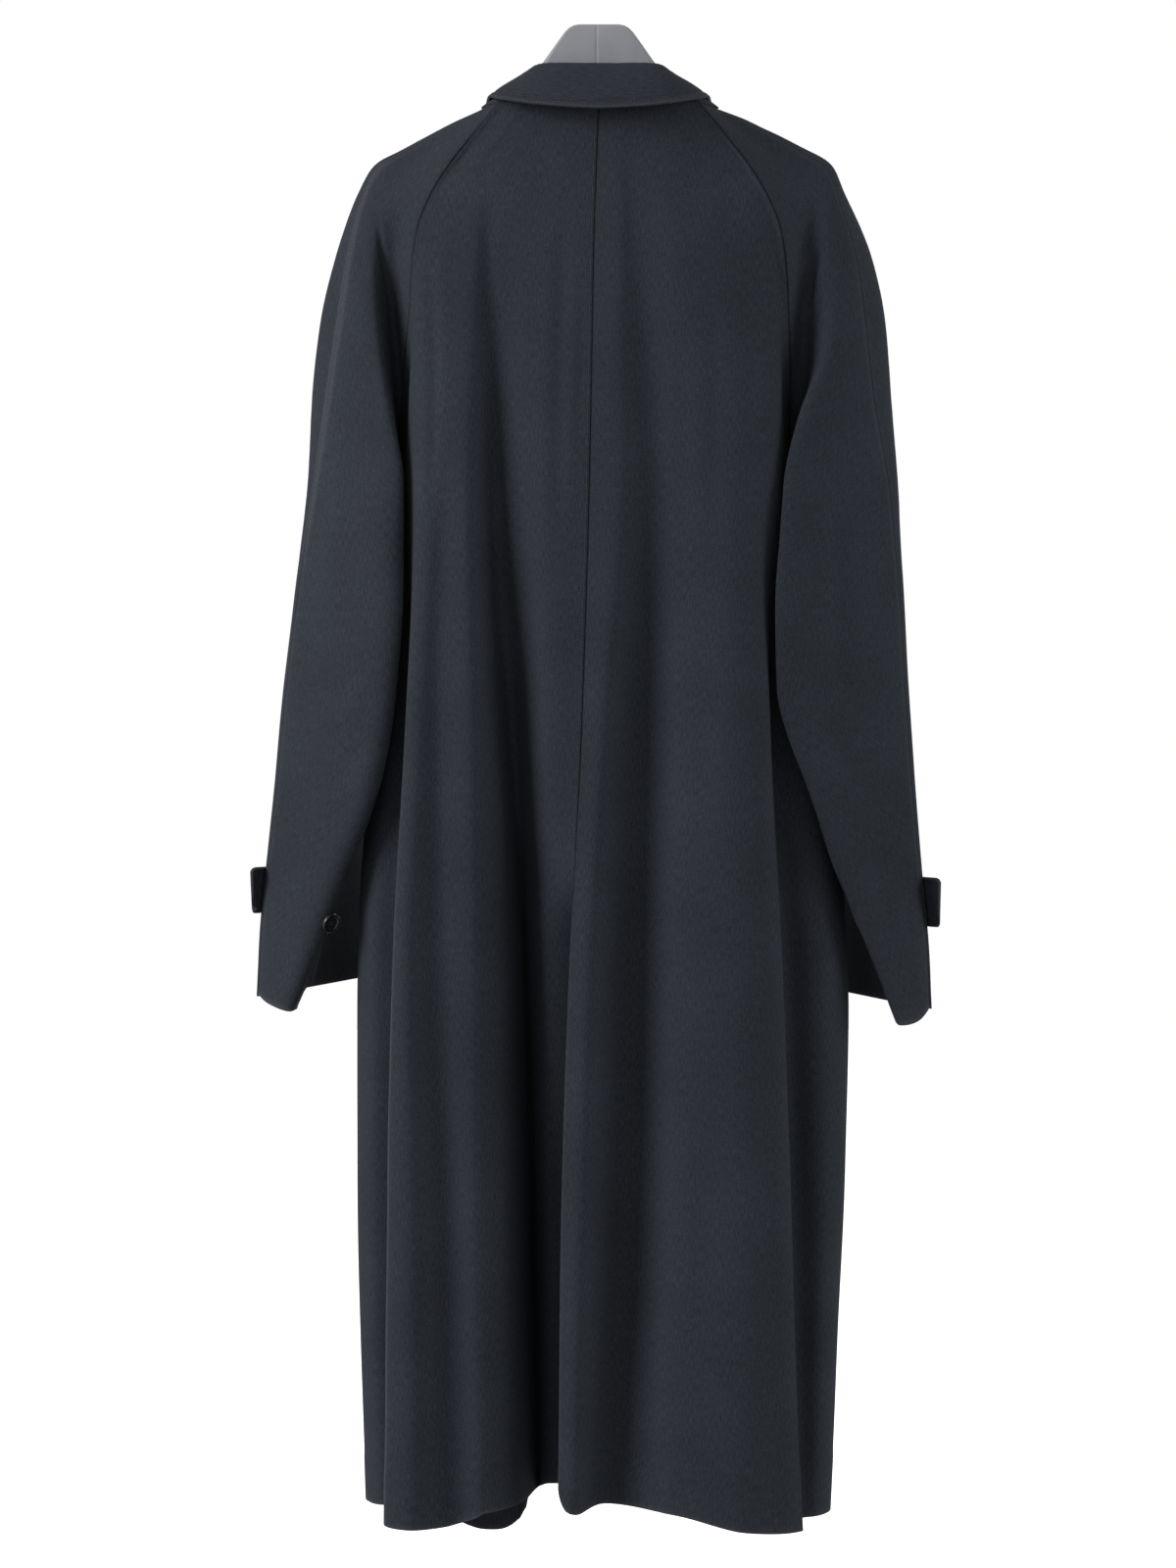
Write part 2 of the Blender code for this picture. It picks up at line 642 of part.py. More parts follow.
# Buttons: a dished disc with a rim, lying on a point of the cloth
def button(name, centre, out, radius):
    out = out.normalized()
    side = out.orthogonal().normalized()
    other = out.cross(side)
    profile = (
        (0.0, 0.0),
        (radius * 0.92, 0.0),
        (radius, BUTTON_THICK * 0.35),
        (radius * 0.97, BUTTON_THICK * 0.8),
        (radius - BUTTON_RIM * 0.7, BUTTON_THICK),
        (radius - BUTTON_RIM * 1.6, BUTTON_THICK * 0.66),
        (0.0, BUTTON_THICK * 0.6),
    )
    steps = 28
    points = [centre.copy()]
    for r, h in profile[1:-1]:
        for k in range(steps):
            a = 2 * math.pi * k / steps
            points.append(centre + side * (r * math.cos(a)) + other * (r * math.sin(a)) + out * h)
    points.append(centre + out * profile[-1][1])
    faces = []
    rings = len(profile) - 2
    for k in range(steps):
        n = (k + 1) % steps
        faces.append((0, 1 + n, 1 + k))
        for i in range(rings - 1):
            a, b = 1 + i * steps, 1 + (i + 1) * steps
            faces.append((a + k, a + n, b + n, b + k))
        top = 1 + (rings - 1) * steps
        faces.append((len(points) - 1, top + k, top + n))
    return add(name, points, faces, BUTTON_BLACK, BUTTON_ROUGH)


# What lies on a panel is placed on its facets: rows and columns may be fractions
def on_grid(grid, i, j):
    i0 = max(0, min(int(i), len(grid) - 2))
    j0 = max(0, min(int(j), len(grid[0]) - 2))
    u, v = i - i0, j - j0
    top = grid[i0][j0].lerp(grid[i0][j0 + 1], v)
    low = grid[i0 + 1][j0].lerp(grid[i0 + 1][j0 + 1], v)
    return top.lerp(low, u)


def row_at(grid, j, height):
    for i in range(len(grid) - 1):
        a, b = on_grid(grid, i, j).z, on_grid(grid, i + 1, j).z
        if b <= height:
            return i + (a - height) / (a - b)
    return len(grid) - 1


def with_ghosts(rows):
    return [[r[0] * 2 - r[1]] + r + [r[-1] * 2 - r[-2]] for r in rows]


def normal_at(grid, i, j):
    down = on_grid(grid, i + 0.2, j) - on_grid(grid, i - 0.2, j)
    across = on_grid(grid, i, j + 0.2) - on_grid(grid, i, j - 0.2)
    return down.cross(across).normalized()


# Straps lie on the sleeve's front, from beyond its front corner to the outer edge
# The free end stands off there
EDGE_COLUMN = sum(SLEEVE_COUNTS[:4])
STRAP_COLUMNS = [EDGE_COLUMN + k * 0.5 for k in range(0, 6)]


def strap_grid(side):
    high, low = STRAP_HEIGHTS[side]
    body = [row[1:-1] for row in sleeve_grid(side)]
    rows = []
    for k in range(5):
        height = mix(high, low, k / 4)
        at = row_at(body, EDGE_COLUMN, height)
        line = [on_grid(body, at, j) for j in STRAP_COLUMNS]
        lead = (line[0] - line[-1]).normalized()
        off = Vector((side, 0.1, 0)) * STRAP_STAND
        long = STRAP_FREE[side] * (1.0 - STRAP_LEAN[side] * k / 4)
        free = [line[0] + lead * (long * 0.5) + off * 0.5, line[0] + lead * long + off]
        rows.append(list(reversed(free)) + line)
    return with_ghosts(rows)


# Pocket welts lie on the front panels beside the side seam
def welt_grid(side):
    body = [row[1:-1] for row in front_grid(side)]
    rows = []
    for k in range(7):
        t = k / 6
        height = mix(WELT_TOP, WELT_BOTTOM, t)
        at = row_at(body, 1, height)
        fine = [on_grid(body, at, j / 10) for j in range(81)]
        start = 10 + WELT_LEAN * (1 - t)
        reach = sum((q - p).length for p, q in zip(fine, fine[1:]))
        rows.append([walk(fine, (start + WELT_WIDE * j / 8) / reach) for j in range(9)])
    return with_ghosts(rows)


def button_on(name, grid, column, height, way, radius):
    at = row_at(grid, column, height)
    out = normal_at(grid, at, column) * way
    button(name, on_grid(grid, at, column) + out * (SEAM_GAP + 0.6), out, radius)


# Build
for old in list(bpy.data.objects):
    bpy.data.objects.remove(old, do_unlink=True)

SIDES = ((-1, "left"), (1, "right"))
for side, word in SIDES:
    sheet("back_" + word, back_grid(side), side, WALL)
    sheet("front_" + word, front_grid(side), side, WALL)
    back_half, front_half = sleeve_halves(side)
    sheet("sleeve_%s_back" % word, back_half, side, WALL)
    sheet("sleeve_%s_front" % word, front_half, side, WALL)
    sheet("pocket_welt_" + word, welt_grid(side), side, WELT_WALL, SEAM_GAP + 0.5 + WELT_WALL)
    sheet("cuff_strap_" + word, strap_grid(side), side, STRAP_WALL, SEAM_GAP + 0.2 + STRAP_WALL)

sheet("collar", collar_grid(), 1, COLLAR_WALL)
build_hanger()

front = [row[1:-1] for row in front_grid(-1)]
for i, height in enumerate(FRONT_BUTTONS):
    button_on("front_button_%d" % (i + 1), front, FRONT_BUTTON_COLUMN, height, -1, FRONT_BUTTON_RADIUS)

for side, word in SIDES:
    strap = [row[1:-1] for row in strap_grid(side)]
    out = normal_at(strap, 2, STRAP_BUTTON_COLUMN) * side
    top = SEAM_GAP + 0.2 + STRAP_WALL + SEAM_GAP + 0.2
    place = on_grid(strap, 2, STRAP_BUTTON_COLUMN) + out * top
    button("strap_button_" + word, place, out, CUFF_BUTTON_RADIUS)
    sleeve = [row[1:-1] for row in sleeve_halves(side)[0]]
    spot = CUFF_BUTTON_COLUMNS[side]
    button_on("cuff_button_" + word, sleeve, spot, CUFF_BUTTON_HEIGHT, side, CUFF_BUTTON_RADIUS)
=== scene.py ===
import bpy
import numpy as np
from mathutils import Matrix, Vector


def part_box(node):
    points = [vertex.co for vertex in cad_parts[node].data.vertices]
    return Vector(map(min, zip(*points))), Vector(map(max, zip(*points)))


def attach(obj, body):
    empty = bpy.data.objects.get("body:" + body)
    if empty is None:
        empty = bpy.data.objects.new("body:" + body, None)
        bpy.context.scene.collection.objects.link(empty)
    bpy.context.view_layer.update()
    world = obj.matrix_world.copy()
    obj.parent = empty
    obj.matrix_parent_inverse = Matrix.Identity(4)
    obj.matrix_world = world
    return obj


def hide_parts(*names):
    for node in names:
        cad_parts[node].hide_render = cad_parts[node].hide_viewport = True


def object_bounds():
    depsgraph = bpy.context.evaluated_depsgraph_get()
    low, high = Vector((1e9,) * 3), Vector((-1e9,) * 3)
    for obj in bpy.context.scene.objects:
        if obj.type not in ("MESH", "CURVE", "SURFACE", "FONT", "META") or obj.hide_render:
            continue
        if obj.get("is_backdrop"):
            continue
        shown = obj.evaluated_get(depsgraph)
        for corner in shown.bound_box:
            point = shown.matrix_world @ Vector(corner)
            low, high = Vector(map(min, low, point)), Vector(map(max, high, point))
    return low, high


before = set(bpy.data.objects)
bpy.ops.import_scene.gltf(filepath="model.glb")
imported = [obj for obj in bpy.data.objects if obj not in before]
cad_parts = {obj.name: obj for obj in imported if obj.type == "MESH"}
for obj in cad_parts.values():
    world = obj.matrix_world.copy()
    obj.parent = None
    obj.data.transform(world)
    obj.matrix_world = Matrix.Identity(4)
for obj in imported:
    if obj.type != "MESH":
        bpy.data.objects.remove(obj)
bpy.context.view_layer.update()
bpy.ops.object.select_all(action="DESELECT")

# Hanger
# A broad-shouldered coat hanger, injection moulded in dark grey plastic with a satin skin.
# Its flat-topped middle block stands above the collar, and its arms lie in the shoulders and carry the coat.
MM = 0.001
# reach from the middle, height of the top, height of the underside, half thickness
HANGER_BLOCK = (
    (0, 0, -70, 12),
    (12, 0, -70, 12),
    (19, -0.2, -70, 12),
    (26, -3, -71, 12),
    (34, -12, -74, 12),
    (46, -28, -80, 12),
    (56, -42, -85, 12),
    (66, -56, -90, 11),
    (80, -69, -96, 11),
    (98, -75, -104, 11),
)
# height of the coat's shoulder, left and right, over the arms
SHOULDER_LEFT = ((98, -73), (103, -73), (128, -85), (152, -97), (175, -109), (197, -122), (212, -148))
SHOULDER_RIGHT = ((98, -73), (105, -73), (135, -85), (161, -97), (184, -109), (205, -122), (217, -148))
ARM_START, ARM_END = 98, 186
# The arms lie this far below the shoulder, farther at their ends, and grow deeper and thicker outwards
ARM_CLEAR, ARM_EASE = 2.0, 5.0
ARM_DEEP, ARM_DEEPENS, ARM_HALF, ARM_THICKENS = 29, 13, 11, 2
# The block's flat top turns into the arms' round one between these reaches
FLAT_END, FLAT_FADE = 26, 40
BLOCK_SOFT = 3.2
MOULD_LINE_X, MOULD_LINE_DEEP, MOULD_LINE_WIDE = -2.0, 0.5, 0.9
STATION_STEP, RING_STEPS = 4, 22
# Rounded ends of the arms: distance past the last section, scale
ARM_CAP = ((2.6, 0.94), (5.0, 0.76), (6.8, 0.48), (7.5, 0.0))


def ease(t):
    t = np.clip(t, 0.0, 1.0)
    return t * t * (3.0 - 2.0 * t)


def between(keys, values, at):
    # Values of a table's column between its rows, smooth and without overshoot
    keys, values, at = np.array(keys, float), np.array(values, float), np.asarray(at, float)
    if keys[0] > keys[-1]:
        keys, at = -keys, -at
    slopes = np.diff(values) / np.diff(keys)
    tangents = np.zeros_like(values)
    tangents[0], tangents[-1] = slopes[0], slopes[-1]
    product = slopes[:-1] * slopes[1:]
    total = np.where(product > 0, slopes[:-1] + slopes[1:], 1.0)
    tangents[1:-1] = np.where(product > 0, 2.0 * product / total, 0.0)
    i = np.clip(np.searchsorted(keys, at) - 1, 0, len(keys) - 2)
    step = keys[i + 1] - keys[i]
    t = np.clip((at - keys[i]) / step, 0.0, 1.0)
    t2, t3 = t * t, t * t * t
    return (
        (2 * t3 - 3 * t2 + 1) * values[i]
        + (t3 - 2 * t2 + t) * step * tangents[i]
        + (3 * t2 - 2 * t3) * values[i + 1]
        + (t3 - t2) * step * tangents[i + 1]
    )


def column(table, index):
    return [row[index] for row in table]


def lay_grid(name, points):
    # A flat grid primitive whose vertices are moved to rows of points, in millimetres
    rows, cols = points.shape[:2]
    bpy.ops.mesh.primitive_grid_add(x_subdivisions=cols - 1, y_subdivisions=rows - 1, size=1)
    piece = bpy.context.object
    piece.name = piece.data.name = name
    piece.data.vertices.foreach_set("co", (points * MM).astype(np.float32).ravel())
    piece.data.update()
    return piece


def hanger_ring(x, steps):
    reach = abs(x)
    shoulder = SHOULDER_LEFT if x < 0 else SHOULDER_RIGHT
    share = max(0.0, (reach - ARM_START) / (ARM_END - ARM_START))
    if reach <= ARM_START:
        keys = column(HANGER_BLOCK, 0)
        top, low, half = (float(between(keys, column(HANGER_BLOCK, k), reach)) for k in (1, 2, 3))
    else:
        over_arm = float(between(column(shoulder, 0), column(shoulder, 1), reach))
        top = over_arm - ARM_CLEAR - ARM_EASE * share ** 1.5
        low, half = top - (ARM_DEEP + ARM_DEEPENS * share), ARM_HALF + ARM_THICKENS * share
    flat = 1.0 - float(ease((reach - FLAT_END) / FLAT_FADE))
    crown = min(half * 1.1, (top - low) * 0.45)
    a = np.linspace(0, np.pi, steps)
    y = -half * np.cos(a)
    edge = np.maximum(0, np.abs(y) - (half - BLOCK_SOFT)) / BLOCK_SOFT
    block = top - BLOCK_SOFT * (1 - np.sqrt(np.maximum(0, 1 - edge * edge)))
    bar = top - crown + crown * np.sin(a)
    over = np.stack([np.full(steps, x), y, block * flat + bar * (1 - flat)], -1)
    under = np.stack([np.full(steps, x), -y, low + crown * 0.5 * (1 - np.sin(a))], -1)
    ring = np.concatenate([over, under, over[:1]])
    # The mould line: a fine groove down the middle of the block's faces
    groove = MOULD_LINE_DEEP * np.exp(-(((x - MOULD_LINE_X) / MOULD_LINE_WIDE) ** 2))
    ring[:, 1] -= np.sign(ring[:, 1]) * groove
    return ring


def build_hanger():
    fine = [MOULD_LINE_X + k * 0.6 for k in range(-4, 5)]
    coarse = [float(x) for x in range(-ARM_END, ARM_END + 1, STATION_STEP) if abs(x - MOULD_LINE_X) > 3]
    rings = [hanger_ring(x, RING_STEPS) for x in sorted(set(coarse + fine))]
    for way in (-1, 1):
        last = rings[0] if way < 0 else rings[-1]
        middle = last[:-1].mean(axis=0)
        for out, scale in ARM_CAP:
            ring = middle + (last - middle) * scale
            ring[:, 0] = middle[0] + way * out
            rings.insert(0, ring) if way < 0 else rings.append(ring)
    piece = lay_grid("hanger_moulding", np.array(rings))
    bpy.ops.object.mode_set(mode="EDIT")
    bpy.ops.mesh.select_all(action="SELECT")
    bpy.ops.mesh.remove_doubles(threshold=0.00002)
    bpy.ops.mesh.normals_make_consistent(inside=False)
    bpy.ops.object.mode_set(mode="OBJECT")
    bpy.ops.object.shade_smooth_by_angle(angle=0.9)
    return piece


def new_material(name):
    mat = bpy.data.materials.new(name)
    mat.use_nodes = True
    return mat, mat.node_tree.nodes["Principled BSDF"]


def set_sockets(node, **values):
    # Constant values on a node's sockets; an underscore stands for a space in a socket's name
    for socket, value in values.items():
        node.inputs[socket.replace("_", " ")].default_value = value


def add_node(mat, kind, **values):
    node = mat.node_tree.nodes.new("ShaderNode" + kind)
    set_sockets(node, **values)
    return node


def add_ramp(mat, places, dark, light):
    ramp = add_node(mat, "ValToRGB")
    for element, place, colour in zip(ramp.color_ramp.elements, places, (dark, light)):
        element.position, element.color = place, (*colour, 1)
    return ramp


def wire(mat, *joins):
    for source, out, target, into in joins:
        mat.node_tree.links.new(source.outputs[out], target.inputs[into])


def satin_plastic(name):
    mat, shader = new_material(name)
    where = add_node(mat, "TexCoord")
    grain = add_node(mat, "TexNoise", Scale=900.0, Detail=3.0)
    clouds = add_node(mat, "TexNoise", Scale=28.0, Detail=4.0)
    tone = add_ramp(mat, (0.3, 0.72), (0.300, 0.310, 0.335), (0.360, 0.370, 0.400))
    rough = add_node(mat, "MapRange", To_Min=0.40, To_Max=0.52)
    bump = add_node(mat, "Bump", Strength=0.18, Distance=0.0003)
    set_sockets(shader, Specular_IOR_Level=0.45)
    wire(
        mat,
        (where, "Object", grain, "Vector"),
        (where, "Object", clouds, "Vector"),
        (clouds, "Fac", tone, "Fac"),
        (tone, "Color", shader, "Base Color"),
        (clouds, "Fac", rough, "Value"),
        (rough, "Result", shader, "Roughness"),
        (grain, "Fac", bump, "Height"),
        (bump, "Normal", shader, "Normal"),
    )
    return mat


hanger = build_hanger()
hanger.data.materials.append(satin_plastic("hanger_satin_plastic"))
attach(hanger, "root")
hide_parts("hanger")

# Back halves
# Two lengths of charcoal wool twill joined at the centre back down to a vent, with a turned-up hem.
# They hang from the raglan seams in deep soft folds; the left half's vent edge lies under the right one's.
SIDES = ((-1, "left"), (1, "right"))
WALL = 1.5
NECK_TOP = -74
HEIGHTS = (-75, -190, -400, -620, -830, -1060, -1290)
UNDERARM, HEM, HEM_REACH = -400, -1290, 260
VENT_TOP, VENT_EASE = -725, 70
# line, x at each height, y at each height, height at the hem
BACK_LEFT = (
    ("centre", (0, -4, -8, -15, -14, -6, -2), (-58, -76, -90, -92, -66, -55, -52), -1272),
    ("slope", (-15, -36, -45, -45, -45, -43, -41), (-59, -77, -90, -87, -62, -48, -44), -1271),
    ("valley", (-28, -79, -89, -74, -64, -57, -53), (-58, -72, -68, -42, -24, -16, -16), -1279),
    ("lip", (-35, -91, -100, -87, -78, -72, -69), (-57, -71, -77, -67, -69, -74, -78), -1283),
    ("roll", (-46, -106, -112, -108, -106, -105, -100), (-55, -71, -89, -98, -104, -109, -112), -1287),
    ("trough", (-58, -124, -132, -138, -138, -131, -126), (-52, -67, -87, -88, -90, -93, -95), -1298),
    ("brow", (-65, -135, -144, -156, -165, -161, -161), (-51, -64, -86, -93, -103, -111, -114), -1299),
    ("ridge", (-70, -143, -153, -166, -177, -181, -183), (-49, -61, -80, -87, -92, -97, -100), -1297),
    ("crease", (-77, -151, -165, -163, -168, -171, -172), (-46, -57, -59, -50, -48, -50, -54), -1288),
    ("strip", (-82, -155, -169, -184, -197, -197, -190), (-44, -55, -34, -36, -40, -43, -47), -1289),
)
BACK_RIGHT = (
    ("centre", (0, -4, -8, -15, -26, -33, -35), (-58, -76, -90, -93, -98, -103, -107), -1280),
    ("crest", (14, 18, 18, 4, -8, -16, -22), (-59, -78, -92, -98, -104, -109, -113), -1286),
    ("valley", (28, 30, 44, 34, 24, 18, 4), (-59, -74, -79, -69, -66, -68, -80), -1282),
    ("plane_a", (44, 64, 86, 84, 82, 77, 68), (-57, -75, -91, -94, -98, -103, -108), -1288),
    ("plane_b", (58, 95, 112, 118, 124, 124, 121), (-53, -71, -90, -98, -103, -109, -113), -1301),
    ("ridge", (70, 130, 134, 148, 163, 171, 178), (-49, -61, -82, -83, -83, -88, -90), -1304),
    ("crease", (77, 148, 156, 148, 155, 162, 170), (-46, -55, -64, -50, -46, -49, -56), -1301),
    ("strip", (82, 152, 163, 184, 200, 197, 190), (-44, -53, -38, -36, -38, -42, -47), -1299),
)
# Front lines from the side to the free edge, given as a reach
FRONT_LEFT = (
    ("strip", (74, 150, 163, 182, 191, 190, 184), (56, 58, 26, 42, 44, 48, 50), -1296),
    ("ridge", (68, 140, 156, 162, 166, 166, 166), (60, 68, 78, 84, 86, 92, 96), -1310),
    ("trough", (55, 112, 132, 136, 136, 138, 140), (68, 78, 86, 84, 80, 82, 86), -1320),
    ("plane", (38, 72, 84, 84, 88, 98, 108), (78, 88, 97, 98, 98, 102, 106), -1338),
    ("edge", (-20, -26, -27, -27, -20, 22, 66), (90, 98, 103, 104, 104, 106, 108), -1338),
)
FRONT_RIGHT = (
    ("strip", (74, 150, 163, 183, 195, 191, 183), (56, 58, 26, 42, 44, 48, 50), -1300),
    ("ridge", (68, 140, 156, 163, 168, 168, 166), (60, 68, 78, 84, 86, 92, 96), -1304),
    ("trough", (55, 112, 130, 132, 134, 136, 138), (68, 78, 86, 85, 82, 84, 88), -1300),
    ("plane", (38, 72, 84, 84, 82, 82, 82), (72, 82, 91, 92, 92, 96, 100), -1300),
    ("edge", (-24, -26, -27, -27, -26, -10, 20), (76, 87, 95, 96, 96, 99, 102), -1302),
)
# Raglan seam: height, reach, y at the back seam, y at the front seam
RAGLAN = (
    (-74, 87, -42, 52),
    (-103, 110, -47, 57),
    (-131, 131, -51, 60),
    (-158, 147, -53, 61),
    (-184, 157, -54, 60),
    (-215, 162, -51, 56),
    (-266, 165, -42, 46),
    (-316, 167, -28, 31),
    (-360, 167, -14, 15),
    (-400, 166, -4, 4),
)
FRONT_SEAM_DROP, NECK_DROP_EDGE, NECK_DROP_ROWS = -21, -53, 110
# The left underarm sits a little farther out
FLARE, FLARE_TOP, FLARE_RUN = 8, -240, 140
# Side seam: height, reach on the left, reach on the right
SIDE_SEAM = (
    (-412, 175, 166),
    (-500, 185.5, 178),
    (-620, 197, 197),
    (-700, 205, 208),
    (-773, 210, 216),
    (-860, 212, 219),
    (-1000, 212, 216),
    (-1150, 209, 209),
    (-1290, 204, 203),
)
SIDE_HEM = {-1: -1291, 1: -1300}
# Sleeve sections from neck to cuff: height at the seam, reach of the seam below the underarm,
# tuck reach and y, back corner reach left and right and y and dip, overarm reach and y,
# outer edge reach left and right and height, front corner reach and y
SLEEVE = (
    (-74, 0, 91, 34, 97, 97, 22, 0, 101, 7, 103, 105, -73, 94, 32),
    (-103, 0, 116, 37, 123, 123, 23, 0, 126, 7, 128, 135, -85, 119, 31),
    (-131, 0, 139, 40, 147, 148, 24, 0, 150, 7, 152, 161, -97, 143, 32),
    (-158, 0, 158, 41, 169, 170, 26, 0, 172, 8, 175, 184, -109, 164, 34),
    (-184, 0, 170, 42, 184, 187, 30, 0, 192, 10, 197, 205, -122, 180, 37),
    (-215, 0, 176, 38, 193, 197, 36, 0, 205, 16, 212, 217, -148, 190, 43),
    (-266, 0, 179, 29, 196, 200, 44, 0, 217, 25, 231, 239, -200, 194, 52),
    (-316, 0, 179, 25, 191, 195, 55, 0, 226, 29, 245, 252, -262, 193, 63),
    (-360, 168, 177, 29, 180, 174, 66, 0, 236, 27, 252, 257, -330, 190, 73),
    (-400, 169.5, 174, 38, 170, 160, 75, 0, 246, 22, 254, 261, -398, 187, 81),
    (-450, 182, 179, 44, 169, 155, 83, 2, 255, 15, 259, 263, -450, 190, 86),
    (-510, 191, 185, 46, 169, 151, 86, 3, 265, 8, 267, 267, -510, 196, 90),
    (-580, 202, 193, 44, 174, 152, 84, 4, 274, 4, 276, 271, -580, 203, 95),
    (-660, 214, 208, 40, 188, 178, 70, 6, 282, 0, 284, 277, -660, 209, 99),
    (-740, 229, 228, 33, 220, 209, 54, 8, 291, -6, 293, 285, -740, 211, 103),
    (-799, 241, 243, 24, 243, 237, 42, 10, 297, -10, 299, 291, -798, 210, 106),
    (-841, 251, 256, 16, 266, 259, 36, 16, 300, -12, 302, 294, -852, 208, 107),
)
# Creases pressed by the hang of the cloth: path of x and z, half width, depth (below 0 is a trough)
BACK_CREASES = (
    ("left of the seam", ((-27, -130), (-31, -200), (-34, -330), (-36, -500)), 8, -2.2),
    (
        "along the left raglan",
        ((-142, -165), (-146, -225), (-143, -300), (-143, -380), (-145, -470)),
        7,
        -3.4,
    ),
    ("beside the centre", ((-13, -215), (-15, -300), (-19, -420)), 5, -0.8),
    ("left blade", ((-62, -190), (-66, -300), (-64, -420)), 9, 1.0),
    ("right wave one", ((71, -215), (74, -330), (72, -480), (78, -640)), 9, -0.9),
    ("right wave two", ((97, -190), (99, -320), (98, -520)), 8, -0.9),
    ("right wave three", ((128, -170), (131, -300), (129, -470), (134, -600)), 8, -1.0),
    (
        "first valley head",
        ((-96, -95), (-96, -180), (-94, -270), (-89, -360), (-86, -450), (-78, -560)),
        8,
        -4.0,
    ),
    ("left roll hollow", ((-133, -640), (-135, -830), (-131, -1060), (-127, -1560)), 12, 1.8),
    ("left roll ease", ((-111, -560), (-106, -830), (-105, -1060), (-100, -1560)), 15, -5.0),
    (
        "second valley brow",
        ((50, -150), (70, -400), (66, -620), (62, -830), (57, -1060), (46, -1560)),
        13,
        2.0,
    ),
    ("right ridge turn", ((140, -480), (150, -620), (165, -830), (173, -1060), (180, -1560)), 13, -6.0),
    ("plane hollow", ((88, -760), (96, -930), (92, -1110), (86, -1420)), 16, -1.3),
    ("plane swell", ((118, -840), (124, -1010), (122, -1200), (120, -1420)), 14, 1.0),
    ("hem pucker", ((54, -1236), (51, -1262), (50, -1292)), 4, -1.4),
    ("hem pucker beside", ((63, -1240), (60, -1268), (60, -1296)), 5, 0.9),
    ("hem ease", ((-92, -1230), (-95, -1275), (-96, -1330)), 7, -1.0),
    ("hem ease right", ((104, -1245), (106, -1280), (108, -1330)), 9, -1.0),
)


def section_curves(points, steps):
    # Smooth curves through each row of points, whose first and last points only guide the ends
    out = []
    for i in range(points.shape[1] - 3):
        p0, p1, p2, p3 = (points[:, i + j] for j in range(4))
        k1 = np.maximum(1e-3, np.linalg.norm(p1 - p0, axis=1)) ** 0.5
        k2 = k1 + np.maximum(1e-3, np.linalg.norm(p2 - p1, axis=1)) ** 0.5
        k3 = k2 + np.maximum(1e-3, np.linalg.norm(p3 - p2, axis=1)) ** 0.5
        k1, k2, k3 = k1[:, None], k2[:, None], k3[:, None]
        for s in range(steps):
            k = k1 + (k2 - k1) * (s / steps)
            a1 = (p0 * (k1 - k) + p1 * k) / k1
            a2 = (p1 * (k2 - k) + p2 * (k - k1)) / (k2 - k1)
            a3 = (p2 * (k3 - k) + p3 * (k - k2)) / (k3 - k2)
            b1 = (a1 * (k2 - k) + a2 * k) / k2
            b2 = (a2 * (k3 - k) + a3 * (k - k1)) / (k3 - k1)
            out.append((b1 * (k2 - k) + b2 * (k - k1)) / (k2 - k1))
    out.append(points[:, -2])
    return np.stack(out, 1)


def run_lengths(rows):
    steps = np.linalg.norm(np.diff(rows, axis=1), axis=2)
    return np.concatenate([np.zeros((len(rows), 1)), np.cumsum(steps, axis=1)], 1)


def spread(dense, first, middle, last):
    # Columns at set distances from both edges of a panel, and evenly between; also their distances
    runs = run_lengths(dense)
    whole = runs[:, -1:]
    inner = np.linspace(0, 1, middle + 2)[None, 1:-1]
    start = np.repeat([first], len(dense), 0)
    end = whole - np.array(last[::-1])[None, :]
    places = np.concatenate([start, start[:, -1:] + (end[:, :1] - start[:, -1:]) * inner, end], 1)
    grid = np.empty(places.shape + (3,))
    for r in range(len(dense)):
        for k in range(3):
            grid[r, :, k] = np.interp(places[r], runs[r], dense[r, :, k])
    return grid, places, whole - places


def outward_ways(grid, way):
    turn = np.cross(np.gradient(grid, axis=0), np.gradient(grid, axis=1)) * way
    return turn / np.maximum(1e-9, np.linalg.norm(turn, axis=2, keepdims=True))


def crease_depth(x, z, creases):
    total = np.zeros_like(x)
    for name, path, wide, deep in creases:
        path = np.array(path, float)
        sizes = np.linalg.norm(np.diff(path, axis=0), axis=1)
        starts = np.concatenate([[0], np.cumsum(sizes)])
        near = np.full(x.shape, 1e9)
        share = np.zeros_like(x)
        for k, size in enumerate(sizes):
            step = path[k + 1] - path[k]
            t = np.clip(((x - path[k, 0]) * step[0] + (z - path[k, 1]) * step[1]) / size ** 2, 0, 1)
            off = np.hypot(x - path[k, 0] - t * step[0], z - path[k, 1] - t * step[1])
            share = np.where(off < near, (starts[k] + t * size) / starts[-1], share)
            near = np.minimum(near, off)
        total += deep * ease(share / 0.35) * ease((1 - share) / 0.35) * np.exp(-((near / wide) ** 2))
    return total


def slack(x, z, seed):
    # The slight unevenness of hanging cloth: long shallow waves down its length
    drift = 9 * np.sin(z / 190 + seed) + 5 * np.sin(z / 83 + 2.3 * seed)
    wide = np.sin((x + drift) / 11.7 + seed) * np.sin(z / 137 + 1.7 * seed)
    fine = np.sin((x + 0.6 * drift) / 5.3 + 2.1 * seed) * np.sin(z / 71 + 0.6 * seed)
    cross = np.sin(z / 29 + x / 47 + seed)
    return 0.30 * wide + 0.14 * fine + 0.10 * cross


def add_mix(mat, blend, **values):
    mix = add_node(mat, "Mix")
    mix.data_type, mix.blend_type = "RGBA", blend
    set_sockets(mix, **values)
    return mix


